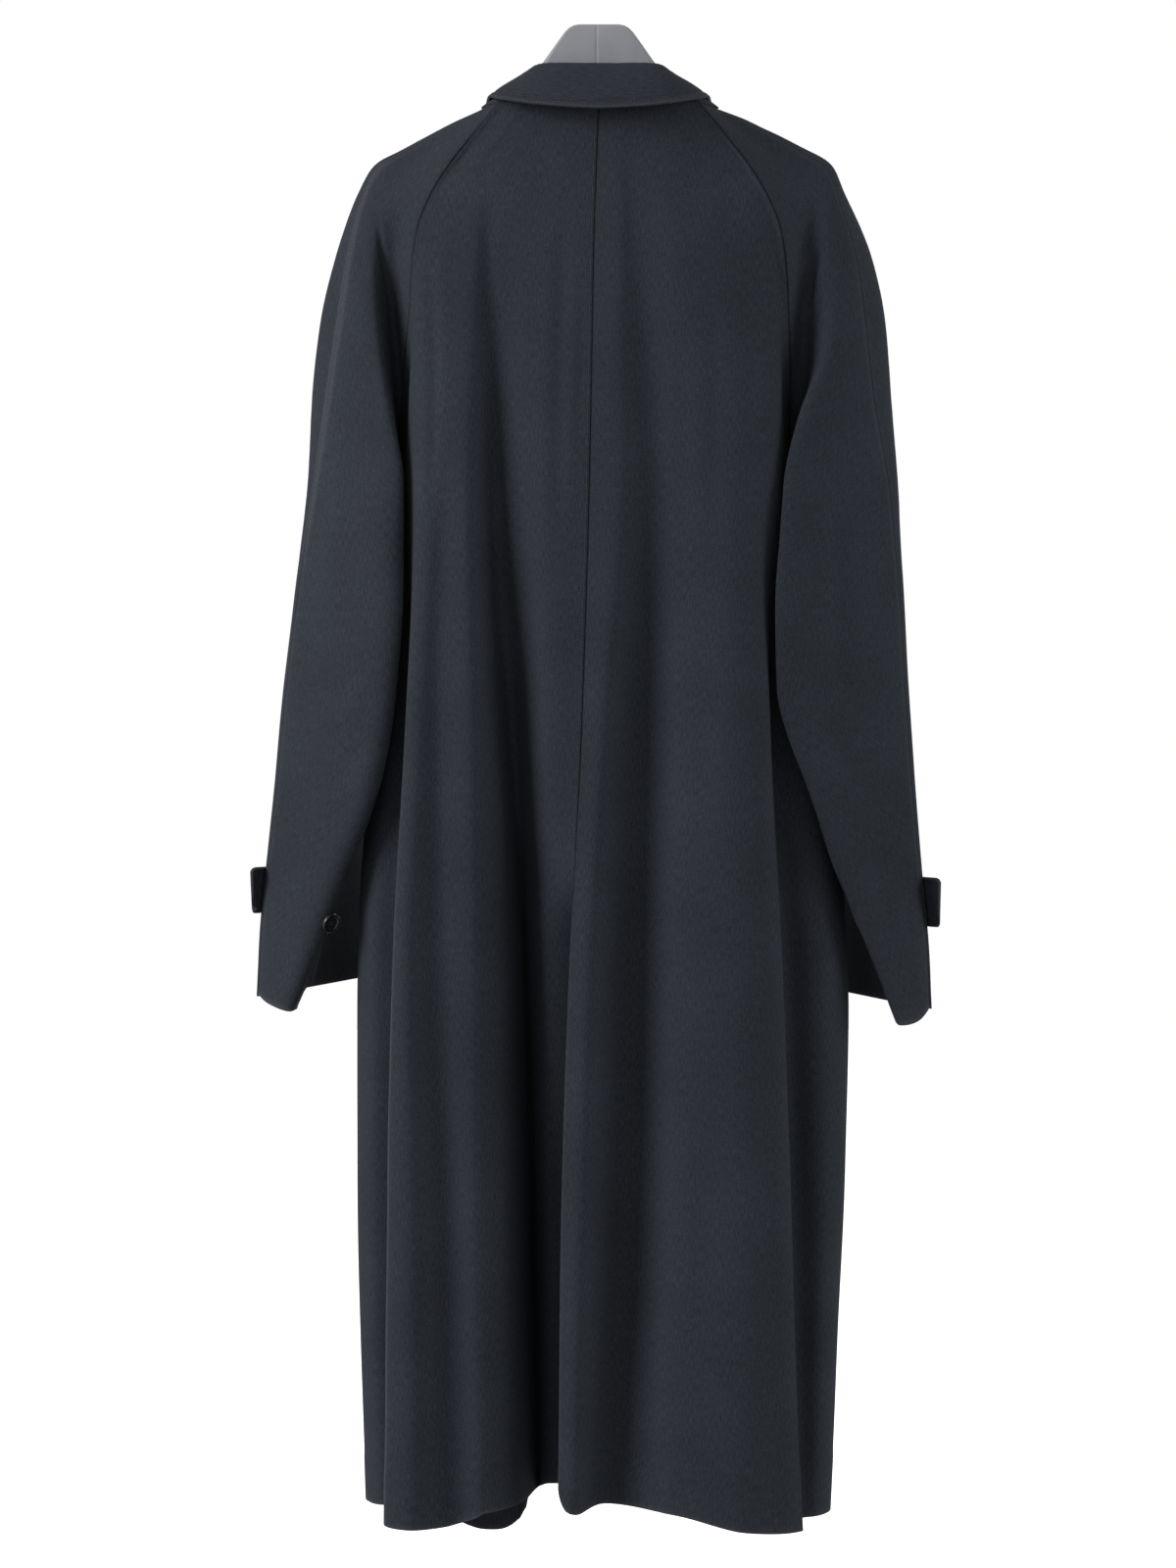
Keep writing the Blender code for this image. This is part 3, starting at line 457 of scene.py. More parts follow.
def wool_twill(name):
    mat, shader = new_material(name)
    cloth = add_node(mat, "UVMap")
    cloth.uv_map = "UVMap"
    turn = add_node(mat, "Mapping", Rotation=(0, 0, 1.08))
    twill = add_node(mat, "TexWave", Scale=340.0, Distortion=1.2, Detail=1.0)
    stretch = add_node(mat, "Mapping", Scale=(1.0, 0.16, 1.0))
    fibre = add_node(mat, "TexNoise", Scale=900.0, Detail=4.0, Roughness=0.65)
    heather = add_node(mat, "TexNoise", Scale=620.0, Detail=3.0)
    cloud = add_node(mat, "TexNoise", Scale=9.0, Detail=3.0)
    yarn = add_ramp(mat, (0.30, 0.74), (0.0228, 0.0262, 0.0335), (0.0490, 0.0555, 0.0690))
    flecks = add_mix(mat, "OVERLAY", Factor=0.35)
    shade = add_mix(mat, "SOFT_LIGHT", Factor=0.30)
    # Dark seam lines, and painted shade in the back's tuck and first valley, darken the colour through the
    # seam attribute
    seam_dark_and_painted_shade = add_mix(mat, "MIX", B=(0.0065, 0.0068, 0.0078, 1))
    # Rubbed edges, and painted highlights on the lit ridges and the right vent edge, lighten the colour
    # through the wear attribute
    wear_and_highlight_tint = add_mix(mat, "MIX", B=(0.100, 0.107, 0.120, 1))
    seam, wear_and_painted_highlight = add_node(mat, "Attribute"), add_node(mat, "Attribute")
    seam.attribute_name, wear_and_painted_highlight.attribute_name = "seam", "wear_and_painted_highlight"
    wear_and_highlight_amount, relief = add_node(mat, "Math"), add_node(mat, "Math")
    wear_and_highlight_amount.operation, relief.operation = "MULTIPLY", "MULTIPLY_ADD"
    relief.inputs[1].default_value = 0.7
    rough = add_node(mat, "MapRange", To_Min=0.93, To_Max=0.74)
    bump = add_node(mat, "Bump", Strength=0.30, Distance=0.00025)
    set_sockets(shader, Specular_IOR_Level=0.10, Sheen_Weight=0.03, Sheen_Roughness=0.42)
    set_sockets(shader, Sheen_Tint=(0.80, 0.84, 0.92, 1))
    wire(
        mat,
        (cloth, "UV", turn, "Vector"),
        (turn, "Vector", twill, "Vector"),
        (cloth, "UV", stretch, "Vector"),
        (stretch, "Vector", fibre, "Vector"),
        (cloth, "UV", heather, "Vector"),
        (cloth, "UV", cloud, "Vector"),
        (fibre, "Fac", yarn, "Fac"),
        (yarn, "Color", flecks, "A"),
        (heather, "Fac", flecks, "B"),
        (flecks, "Result", shade, "A"),
        (cloud, "Fac", shade, "B"),
        (shade, "Result", wear_and_highlight_tint, "A"),
        (wear_and_painted_highlight, "Fac", wear_and_highlight_amount, 0),
        (heather, "Fac", wear_and_highlight_amount, 1),
        (wear_and_highlight_amount, "Value", wear_and_highlight_tint, "Factor"),
        (wear_and_highlight_tint, "Result", seam_dark_and_painted_shade, "A"),
        (seam, "Fac", seam_dark_and_painted_shade, "Factor"),
        (seam_dark_and_painted_shade, "Result", shader, "Base Color"),
        (wear_and_highlight_amount, "Value", rough, "Value"),
        (rough, "Result", shader, "Roughness"),
        (twill, "Fac", relief, 0),
        (fibre, "Fac", relief, 2),
        (relief, "Value", bump, "Height"),
        (bump, "Normal", shader, "Normal"),
    )
    return mat


COAT_CLOTH = wool_twill("charcoal_wool_twill")


def lay_cloth(name, grid, way, wall, seam, wear_and_painted_highlight, node):
    # One cut of cloth: the grid is its outer face, and its thickness goes inwards
    piece = lay_grid(name, grid)
    mesh = piece.data
    across = run_lengths(grid) * MM
    down = run_lengths(grid.transpose(1, 0, 2))[grid.shape[1] // 2] * MM
    flat = np.stack([across, np.repeat(down[:, None], grid.shape[1], 1)], -1).reshape(-1, 2)
    corners = np.empty(len(mesh.loops), np.int32)
    mesh.loops.foreach_get("vertex_index", corners)
    mesh.uv_layers["UVMap"].data.foreach_set("uv", flat[corners].astype(np.float32).ravel())
    # Two tone attributes: dark seam lines with painted shade in folds, and rubbed edges with painted
    # highlights on ridges
    for word, amount in (("seam", seam), ("wear_and_painted_highlight", wear_and_painted_highlight)):
        layer = mesh.attributes.new(word, "FLOAT", "POINT")
        layer.data.foreach_set("value", np.clip(amount, 0, 1).astype(np.float32).ravel())
    if way > 0:
        bpy.ops.object.mode_set(mode="EDIT")
        bpy.ops.mesh.select_all(action="SELECT")
        bpy.ops.mesh.flip_normals()
        bpy.ops.object.mode_set(mode="OBJECT")
    thick = piece.modifiers.new("thickness", "SOLIDIFY")
    thick.thickness = wall * MM
    thick.offset = -1
    bpy.ops.object.modifier_apply(modifier=thick.name)
    bpy.ops.object.shade_smooth_by_angle(angle=1.1)
    mesh.materials.append(COAT_CLOTH)
    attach(piece, "root")
    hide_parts(node)
    piece.select_set(False)
    return piece


def body_heights():
    rows = list(np.linspace(NECK_TOP, UNDERARM, 66)) + [UNDERARM - 4, UNDERARM - 9, UNDERARM - 14]
    rows += list(np.linspace(UNDERARM - 14, HEM + 8, 158)[1:]) + [HEM + 5.5, HEM + 3, HEM + 1.2, HEM]
    return np.array(rows, float)


def near_hem(heights):
    return ease((HEM + HEM_REACH - heights) / HEM_REACH)


def below_underarm(heights):
    return ease((UNDERARM - heights) / 14)


def fold_lines(lines, heights, side=1, drops=None):
    out = []
    for k, line in enumerate(lines):
        x = between(HEIGHTS, line[1], heights) * side
        y = between(HEIGHTS, line[2], heights)
        z = heights + (line[3] - HEM) * near_hem(heights)
        out.append(np.stack([x, y, z if drops is None else z + drops[k]], -1))
    return np.stack(out, 1)


def seam_line(side, heights, front):
    keys = column(RAGLAN, 0)
    low = below_underarm(heights)
    raglan = between(keys, column(RAGLAN, 1), heights)
    raglan = raglan + (FLARE * ease((FLARE_TOP - heights) / FLARE_RUN) if side < 0 else 0)
    under = between(column(SIDE_SEAM, 0), column(SIDE_SEAM, 1 if side < 0 else 2), heights)
    y = between(keys, column(RAGLAN, 3 if front else 2), heights) * (1 - low)
    drop = FRONT_SEAM_DROP * (1 - ease((keys[0] - heights) / NECK_DROP_ROWS)) if front else 0.0
    z = heights + drop + (SIDE_HEM[side] - HEM) * near_hem(heights)
    return np.stack([side * (raglan * (1 - low) + under * low), y, z], -1)


def sleeve_tuck(side, heights, way):
    keys = column(SLEEVE, 0)
    x, y, edge = (between(keys, column(SLEEVE, k), heights) for k in (2, 3, 12))
    z = heights * 0.75 + edge * 0.25
    if way > 0:
        z = z + FRONT_SEAM_DROP * (1 - ease((keys[0] - heights) / NECK_DROP_ROWS)) * 0.7
    return np.stack([side * x, way * y, z], -1)


def back_points(side, heights):
    lines, front = (BACK_LEFT, FRONT_LEFT) if side < 0 else (BACK_RIGHT, FRONT_RIGHT)
    folds = fold_lines(lines, heights)
    apart = ease((VENT_TOP - heights) / VENT_EASE)[:, None]
    folds[:, 0] = fold_lines(BACK_RIGHT[:1], heights)[:, 0] * (1 - apart) + folds[:, 0] * apart
    low = below_underarm(heights)[:, None]
    after = sleeve_tuck(side, heights, -1) * (1 - low) + fold_lines(front[:1], heights, side)[:, 0] * low
    rows = [2 * folds[:, 0] - folds[:, 1]] + [folds[:, k] for k in range(folds.shape[1])]
    return np.stack(rows + [seam_line(side, heights, False), after], 1)


QUARTER_TURN, STITCH_SHARE = 1.5708, 0.40


def stitch_run(name, path, pitch, thick):
    # One row of machine stitches: a single stitch repeated along the seam's curve
    guide = bpy.data.curves.new(name + "_guide", "CURVE")
    guide.dimensions = "3D"
    line = guide.splines.new("POLY")
    line.points.add(len(path) - 1)
    for point, place in zip(line.points, path):
        point.co = (*(Vector(place) * MM), 1)
    guide_object = bpy.data.objects.new(name + "_guide", guide)
    bpy.context.collection.objects.link(guide_object)
    bpy.ops.mesh.primitive_uv_sphere_add(segments=6, ring_count=5, radius=1)
    piece = bpy.context.object
    piece.name = piece.data.name = name
    size = Matrix.Diagonal((thick * MM, thick * MM, pitch * STITCH_SHARE * MM, 1))
    lay = Matrix.Translation((pitch * 0.5 * MM, 0, 0)) @ Matrix.Rotation(QUARTER_TURN, 4, "Y")
    piece.data.transform(lay @ size)
    row = piece.modifiers.new("row", "ARRAY")
    row.fit_type = "FIT_CURVE"
    row.curve = guide_object
    row.use_relative_offset = False
    row.use_constant_offset = True
    row.constant_offset_displace = (pitch * MM, 0, 0)
    bpy.ops.object.modifier_apply(modifier=row.name)
    bend = piece.modifiers.new("along", "CURVE")
    bend.object = guide_object
    bend.deform_axis = "POS_X"
    bpy.ops.object.modifier_apply(modifier=bend.name)
    bpy.data.objects.remove(guide_object, do_unlink=True)
    bpy.ops.object.shade_smooth()
    piece.data.materials.append(SEWING_THREAD)
    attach(piece, "root")
    piece.select_set(False)
    return piece


def sewing_thread(name):
    mat, shader = new_material(name)
    where = add_node(mat, "TexCoord")
    ply = add_node(mat, "TexNoise", Scale=1600.0)
    tone = add_ramp(mat, (0, 1), (0.014, 0.015, 0.018), (0.030, 0.033, 0.039))
    set_sockets(shader, Roughness=0.55, Sheen_Weight=0.2)
    wire(mat, (where, "Object", ply, "Vector"), (ply, "Fac", tone, "Fac"))
    wire(mat, (tone, "Color", shader, "Base Color"))
    return mat


SEWING_THREAD = sewing_thread("charcoal_thread")
SEAM_LAP, LAP_DEEP = 4.0, 2.3
SEAM_COLUMNS = (0.05, 0.7, 1.5, 2.6, 4.0, 5.2, 7.0, 9.5, 13.0)
STITCH_AT = 4
LAP_COLUMNS = (0.0, SEAM_LAP - 1.6, SEAM_LAP - 0.8, SEAM_LAP - 0.4)


def add_lap(dense):
    # The seam allowance: the cloth runs on past its first edge, behind the next piece
    lead = dense[:, 0] - dense[:, 1]
    lap = dense[:, 0] + lead / np.linalg.norm(lead, axis=1, keepdims=True) * SEAM_LAP
    return np.concatenate([lap[:, None], dense], 1), LAP_COLUMNS + tuple(SEAM_LAP + d for d in SEAM_COLUMNS)


def past_lap(distance):
    # Distances from the seam itself, and how far each place is on the allowance
    return np.maximum(0, distance - SEAM_LAP), ease((SEAM_LAP - distance) / 0.4)


def ditch(distance, wide=0.9):
    return np.exp(-((distance / wide) ** 2))


def near_stitch(distance, at, wide=1.3):
    return np.exp(-(((distance - at) / wide) ** 2))


def round_corner(z, distance, wide, tall):
    # Lifts the hem towards a free edge, so that the corner is rounded
    off = np.clip(1 - distance / wide, 0, 1)
    return z + tall * (1 - np.sqrt(1 - off ** 2)) * ease((HEM + 70 - z) / 70)


HEM_LIFT, HEM_DEEP, HEM_STEP, HEM_WEAR = 0.45, 42, 6, 3


def hem_turn(z):
    # The turned-up hem lies behind the cloth and lifts it slightly
    return HEM_LIFT * ease((HEM + HEM_DEEP - z) / HEM_STEP)


def hem_wear(heights):
    # The pale rubbed line along the very edge of the hem
    return 0.5 * np.exp(-((heights - HEM) / HEM_WEAR)[:, None] ** 2)


SEAM_SUNK, SEAM_DARK = 0.5, 0.9
# Steps along a section, and the ones at the pressed ridge and at the bottom of the first valley
SECTION_STEPS, RIDGE_STEP, VALLEY_STEP = 10, {"left": 70, "right": 50}, 20
FOLD_COLUMNS, BACK_SEED = {"left": 116, "right": 76}, 0.8
# Strength of the painted highlight along each ridge and of the painted shade in the tuck behind it, with top,
# run down and half width
RIDGE_PAINTED_HIGHLIGHT, TUCK_PAINTED_SHADE = {"left": 1.0, "right": 0}, {"left": 0.1, "right": 0.7}
RIDGE_HIGHLIGHT_TOP, RIDGE_HIGHLIGHT_RUN, RIDGE_HIGHLIGHT_WIDE = -620, 260, 2.2
TUCK_TOP, TUCK_RUN, TUCK_WIDE, TUCK_PAST = -560, 120, 4, 5
# Painted shade at the bottom of the first valley: top, run down, half width and strength
VALLEY_TOP, VALLEY_RUN, VALLEY_WIDE, VALLEY_PAINTED_SHADE = -600, 200, 5, 0.9
# The centre seam: its depth ends at the vent, its dark line a little lower, and the painted highlight on the
# right vent edge begins
CENTRE_FADE, CENTRE_DARK, CENTRE_WIDE, LINE_BELOW, LINE_FADE = 12, 0.75, 0.8, 60, 30
VENT_PAINTED_HIGHLIGHT, VENT_HIGHLIGHT_WIDE, VENT_HIGHLIGHT_BELOW, VENT_HIGHLIGHT_RUN = 0.35, 2.0, 40, 90
VENT_CORNER_WIDE, VENT_CORNER_TALL = 11, 18
heights = body_heights()
panels = {}
for side, word in SIDES:
    dense = section_curves(back_points(side, heights), SECTION_STEPS)
    runs = run_lengths(dense)
    ridge_run, valley_run = runs[:, RIDGE_STEP[word], None], runs[:, VALLEY_STEP, None]
    dense, first = add_lap(dense) if side < 0 else (dense, SEAM_COLUMNS)
    grid, from_centre, from_side = spread(dense, first, FOLD_COLUMNS[word], SEAM_COLUMNS)
    x, z = grid[..., 0], grid[..., 2]
    joined = ease((z - VENT_TOP) / CENTRE_FADE)
    lapped = np.zeros_like(x)
    if side < 0:
        from_centre, lapped = past_lap(from_centre)
    depth = crease_depth(x, z, BACK_CREASES) + slack(x, z, BACK_SEED + side) + hem_turn(z)
    depth -= SEAM_SUNK * (ditch(from_centre) * joined + ditch(from_side)) + LAP_DEEP * lapped
    depth -= 0.2 * near_stitch(from_centre, SEAM_COLUMNS[3]) * joined * (side < 0)
    grid = grid + outward_ways(grid, side) * depth[..., None]
    line = ease((z - VENT_TOP + LINE_BELOW) / LINE_FADE)
    # Painted shade: a dark line in the tuck behind the ridge, strong on the right
    tuck_painted_shade = ditch(from_centre - ridge_run - TUCK_PAST, TUCK_WIDE) * ease((TUCK_TOP - z) / TUCK_RUN)
    # Painted highlight: a lighter line along the back's ridge, full on the left where the key light falls,
    # none on the right
    pressed_ridge_and_painted_highlight = ditch(from_centre - ridge_run, RIDGE_HIGHLIGHT_WIDE) * ease((RIDGE_HIGHLIGHT_TOP - z) / RIDGE_HIGHLIGHT_RUN)
    seam = CENTRE_DARK * ditch(from_centre, CENTRE_WIDE) * line + SEAM_DARK * ditch(from_side)
    seam += TUCK_PAINTED_SHADE[word] * tuck_painted_shade
    # Wear values: the hem's rubbed edge, plus the painted highlight on the ridge
    wear_and_painted_highlight = hem_wear(heights) + RIDGE_PAINTED_HIGHLIGHT[word] * pressed_ridge_and_painted_highlight
    if side < 0:
        # Painted shade: a dark line along the bottom of the first valley on the left
        valley_shade_fade = ease((VALLEY_TOP - z) / VALLEY_RUN)
        seam += VALLEY_PAINTED_SHADE * ditch(from_centre - valley_run, VALLEY_WIDE) * valley_shade_fade
    else:
        # Painted highlight: a lighter line along the right vent edge, where it faces the key light
        opened = ease((VENT_TOP - VENT_HIGHLIGHT_BELOW - z) / VENT_HIGHLIGHT_RUN)
        wear_and_painted_highlight = wear_and_painted_highlight + VENT_PAINTED_HIGHLIGHT * ditch(from_centre, VENT_HIGHLIGHT_WIDE) * opened
        grid[..., 2] = round_corner(grid[..., 2], from_centre, VENT_CORNER_WIDE, VENT_CORNER_TALL)
    panels["back_" + word] = grid
    piece = lay_cloth("back_%s_cloth" % word, grid, side, WALL, seam, wear_and_painted_highlight, "back_" + word)
CENTRE_STITCH_COLUMN, STITCH_PITCH, STITCH_PROUD = 7, 3.2, 0.1
centre = [p for p in panels["back_left"][:, CENTRE_STITCH_COLUMN] + [0, -0.15, 0] if p[2] > VENT_TOP]
stitch_run("centre_back_stitches", centre, STITCH_PITCH, 0.32)
# A short slanting row holds the underlap at the top of the vent
STAY_TOP, STAY_LOW, STAY_X, STAY_RUN = -733, -764, -21, 20
stay = []
for row in panels["back_left"]:
    height = row[8, 2]
    share = (STAY_TOP - height) / (STAY_TOP - STAY_LOW)
    if 0 < share < 1:
        inner = row[4:30][::-1]
        place = STAY_X - STAY_RUN * share
        stay.append((place, np.interp(place, inner[:, 0], inner[:, 1]) - STITCH_PROUD, height))
stitch_run("vent_stay_stitches", stay, STITCH_PITCH, 0.3)

# Fronts
# Two lengths of the same cloth, closed left over right by a row of buttons and parting towards the hem.
# They hang from the front raglan seams with plain soft folds; the left edge is topstitched.
FRONT_CREASES = (
    ("left chest", ((-118, -190), (-112, -300), (-106, -430), (-110, -560)), 12, -1.8),
    ("left drag", ((-62, -230), (-74, -330), (-80, -460)), 9, 1.2),
    ("left skirt", ((-120, -640), (-124, -850), (-122, -1080), (-118, -1420)), 14, -2.0),
    ("left skirt swell", ((-70, -760), (-84, -950), (-94, -1150), (-100, -1420)), 16, 1.6),
    ("right chest", ((114, -200), (110, -310), (104, -450), (108, -580)), 12, -1.8),
    ("right drag", ((58, -240), (70, -350), (74, -480)), 9, 1.1),
    ("right skirt", ((116, -660), (120, -860), (118, -1090), (116, -1420)), 14, -2.0),
    ("right skirt swell", ((60, -780), (66, -980), (64, -1160), (62, -1420)), 16, 1.5),
    ("button pull", ((-6, -365), (-40, -372), (-70, -392)), 6, -0.7),
    ("button pull low", ((-6, -515), (-42, -524), (-76, -548)), 6, -0.7),
    ("button pull lowest", ((-6, -665), (-38, -690), (-62, -740)), 7, -0.9),
)


def front_points(side, heights):
    lines, back = (FRONT_LEFT, BACK_LEFT) if side < 0 else (FRONT_RIGHT, BACK_RIGHT)
    fade = 1 - ease((NECK_TOP - heights) / NECK_DROP_ROWS)
    steps = len(lines)
    deeper = (NECK_DROP_EDGE - FRONT_SEAM_DROP) / steps
    drops = [fade * (FRONT_SEAM_DROP + deeper * (k + 1)) for k in range(steps)]
    folds = fold_lines(lines, heights, side, drops)
    low = below_underarm(heights)[:, None]
    before = sleeve_tuck(side, heights, 1) * (1 - low) + fold_lines(back[-1:], heights)[:, 0] * low
    rows = [before, seam_line(side, heights, True)] + [folds[:, k] for k in range(steps)]
    return np.stack(rows + [2 * folds[:, -1] - folds[:, -2]], 1)


EDGE_COLUMNS = (0.0, 0.8, 1.8, 3.0, 4.6, 5.8, 6.8, 7.8, 9.2, 12.0)
EDGE_STITCH = 6
STITCH_GAP = EDGE_COLUMNS[EDGE_STITCH]
FRONT_COLUMNS, FRONT_SEED, FRONT_CORNER_WIDE, FRONT_CORNER_TALL = 58, 2.9, 26, 24


def stitch_path(grid, col, way):
    return grid[:, col] + outward_ways(grid, way)[:, col] * STITCH_PROUD


for side, word in SIDES:
    dense, first = add_lap(section_curves(front_points(side, heights), SECTION_STEPS))
    grid, from_side, from_edge = spread(dense, first, FRONT_COLUMNS, EDGE_COLUMNS)
    from_side, lapped = past_lap(from_side)
    x, z = grid[..., 0], grid[..., 2]
    depth = crease_depth(x, z, FRONT_CREASES) + slack(x, z, FRONT_SEED + side) + hem_turn(z)
    depth -= SEAM_SUNK * (ditch(from_side) + near_stitch(from_edge, STITCH_GAP)) + LAP_DEEP * lapped
    grid = grid + outward_ways(grid, side) * depth[..., None]
    seam = SEAM_DARK * ditch(from_side) + 0.35 * near_stitch(from_edge, STITCH_GAP, 0.9)
    wear_and_painted_highlight = hem_wear(heights) + 0.6 * ditch(from_edge, 2.5)
    grid[..., 2] = round_corner(grid[..., 2], from_edge, FRONT_CORNER_WIDE, FRONT_CORNER_TALL)
    panels["front_" + word] = grid
    piece = lay_cloth("front_%s_cloth" % word, grid, side, WALL, seam, wear_and_painted_highlight, "front_" + word)
    stitch_run("front_edge_stitches_" + word, stitch_path(grid, -1 - EDGE_STITCH, side), 3.4, 0.36)

# Raglan sleeves
# Each sleeve is a back and a front of the same cloth, running up to the neck and joined along the overarm.
# The raglan seams are topstitched on the sleeve; the sleeves hang at the sides, with turned-up cuffs.
SLEEVE_CREASES = (
    ("right head hollow", ((190, -140), (184, -178), (175, -220)), 6, -3.4),
    ("right head hollow low", ((191, -192), (186, -222), (179, -256)), 4, -3.8),
    ("right head ridge", ((199, -150), (196, -215), (189, -275)), 6, 2.2),
    ("right outer hollow", ((203, -330), (206, -440), (206, -560), (214, -640)), 10, -2.4),
    ("right elbow", ((186, -560), (206, -600), (226, -620)), 9, 1.4),
    ("right elbow low", ((190, -600), (212, -648), (236, -664)), 10, -1.6),
    ("right forearm", ((232, -690), (246, -760), (254, -830)), 10, -1.4),
    ("right cuff", ((270, -700), (276, -780), (280, -900)), 8, 1.0),
    ("left head hollow", ((-178, -150), (-172, -180), (-168, -214)), 8, -1.0),
    (
        "left head crack",
        ((-197, -150), (-189, -199), (-181, -241), (-177, -283), (-172, -347), (-168, -400)),
        2.5,
        -4.6,
    ),
    (
        "left head lip",
        ((-208, -158), (-200, -200), (-192, -245), (-188, -290), (-184, -350), (-180, -400)),
        5,
        1.5,
    ),
    ("left upper", ((-224, -300), (-226, -400), (-222, -520)), 10, 1.2),
    ("left outer", ((-246, -430), (-252, -540), (-250, -660)), 10, -1.2),
    ("left elbow", ((-190, -560), (-214, -602), (-240, -616)), 10, 1.3),
    ("left elbow low", ((-194, -616), (-220, -660), (-252, -672)), 10, -1.5),
    ("left forearm", ((-262, -690), (-270, -770), (-276, -900)), 9, -1.2),
)
SLEEVE_COLUMNS, SLEEVE_SEED = 46, 4.1
OVERARM_STEP, CORNER_STEP = 30, 20
# The inner edge rounds away before and past the corner, and the back of the sleeve is barrelled
EDGE_ROUND, EDGE_PAST = 22, 14
EDGE_TURN, BARREL, CUFF_SAG = {"left": 9, "right": 2}, {"left": 5, "right": 3}, {"left": 0, "right": 4}
CUFF_DROP_RIGHT, SAG_ROWS, EDGE_AHEAD = 11, 1.2, 14
# Depth of the raglan's stitch line, and darkness of the overarm seam
RAGLAN_STITCHED, OVERARM_DARK = {"left": 0.12, "right": 0.35}, {"left": 0.3, "right": 0.5}


def sleeve_points(side, place):
    index = np.arange(len(SLEEVE))

    def at(k):
        return between(index, column(SLEEVE, k), place)

    lower = (CUFF_DROP_RIGHT if side > 0 else 0) * ease((place - 12) / 4)
    height, edge_z = at(0) - lower, at(12) - lower
    last = len(RAGLAN) - 1
    upper = 1 - ease((place - last) / 0.35)
    keys = column(RAGLAN, 0)
    reach = between(keys, column(RAGLAN, 1), height) + 1.5 * ease((place - last + 0.7) / 0.7)
    under = at(1)
    if side < 0:
        reach = reach + FLARE * ease((FLARE_TOP - height) / FLARE_RUN)
        under = under + FLARE * (1 - ease((place - last) / 2.2))
    seam_x = reach * upper + under * (1 - upper)
    drop = FRONT_SEAM_DROP * (1 - ease((keys[0] - height) / NECK_DROP_ROWS))
    back_y = between(keys, column(RAGLAN, 2), height) * upper
    front_y = between(keys, column(RAGLAN, 3), height) * upper
    edge_x = at(10 if side < 0 else 11)
    arm_x = at(8) + (edge_x - at(10) if side > 0 else 0)
    mid = (height + edge_z) / 2
    quarter = height * 0.75 + edge_z * 0.25
    out_y = EDGE_AHEAD * np.minimum(1.0, 0.3 + 0.1 * place)
    seam_b = np.stack([side * seam_x, back_y, height], -1)
    tuck_b = np.stack([side * at(2), -at(3), quarter], -1)
    corner_b = np.stack([side * at(4 if side < 0 else 5), -at(6), mid - at(7)], -1)
    overarm = np.stack([side * arm_x, -at(9), height * 0.08 + edge_z * 0.92], -1)
    edge = np.stack([side * edge_x, out_y, edge_z], -1)
    corner_f = np.stack([side * at(13), at(14), mid + at(7) * 0.5 + drop * 0.4], -1)
    tuck_f = np.stack([side * at(2), at(3), quarter + drop * 0.7], -1)
    seam_f = np.stack([side * seam_x, front_y, height + drop], -1)
    behind, ahead = (BACK_LEFT, FRONT_LEFT) if side < 0 else (BACK_RIGHT, FRONT_RIGHT)
    up = upper[:, None]
    before = fold_lines(behind[-1:], height)[:, 0] * up + tuck_f * (1 - up)
    after = fold_lines(ahead[:1], height, side, [drop])[:, 0] * up + tuck_b * (1 - up)
    return np.stack([before, seam_b, tuck_b, corner_b, overarm, edge, corner_f, tuck_f, seam_f, after], 1)


def sleeve_places():
    out = []
    for k, (a, b) in enumerate(zip(SLEEVE, SLEEVE[1:])):
        steps = max(6, round(abs(b[0] - a[0]) / 5))
        out += [k + s / steps for s in range(steps)]
    end = len(SLEEVE) - 1
    return np.array([p for p in out if p < end - 0.12] + [end - 0.1, end - 0.05, end - 0.02, end])


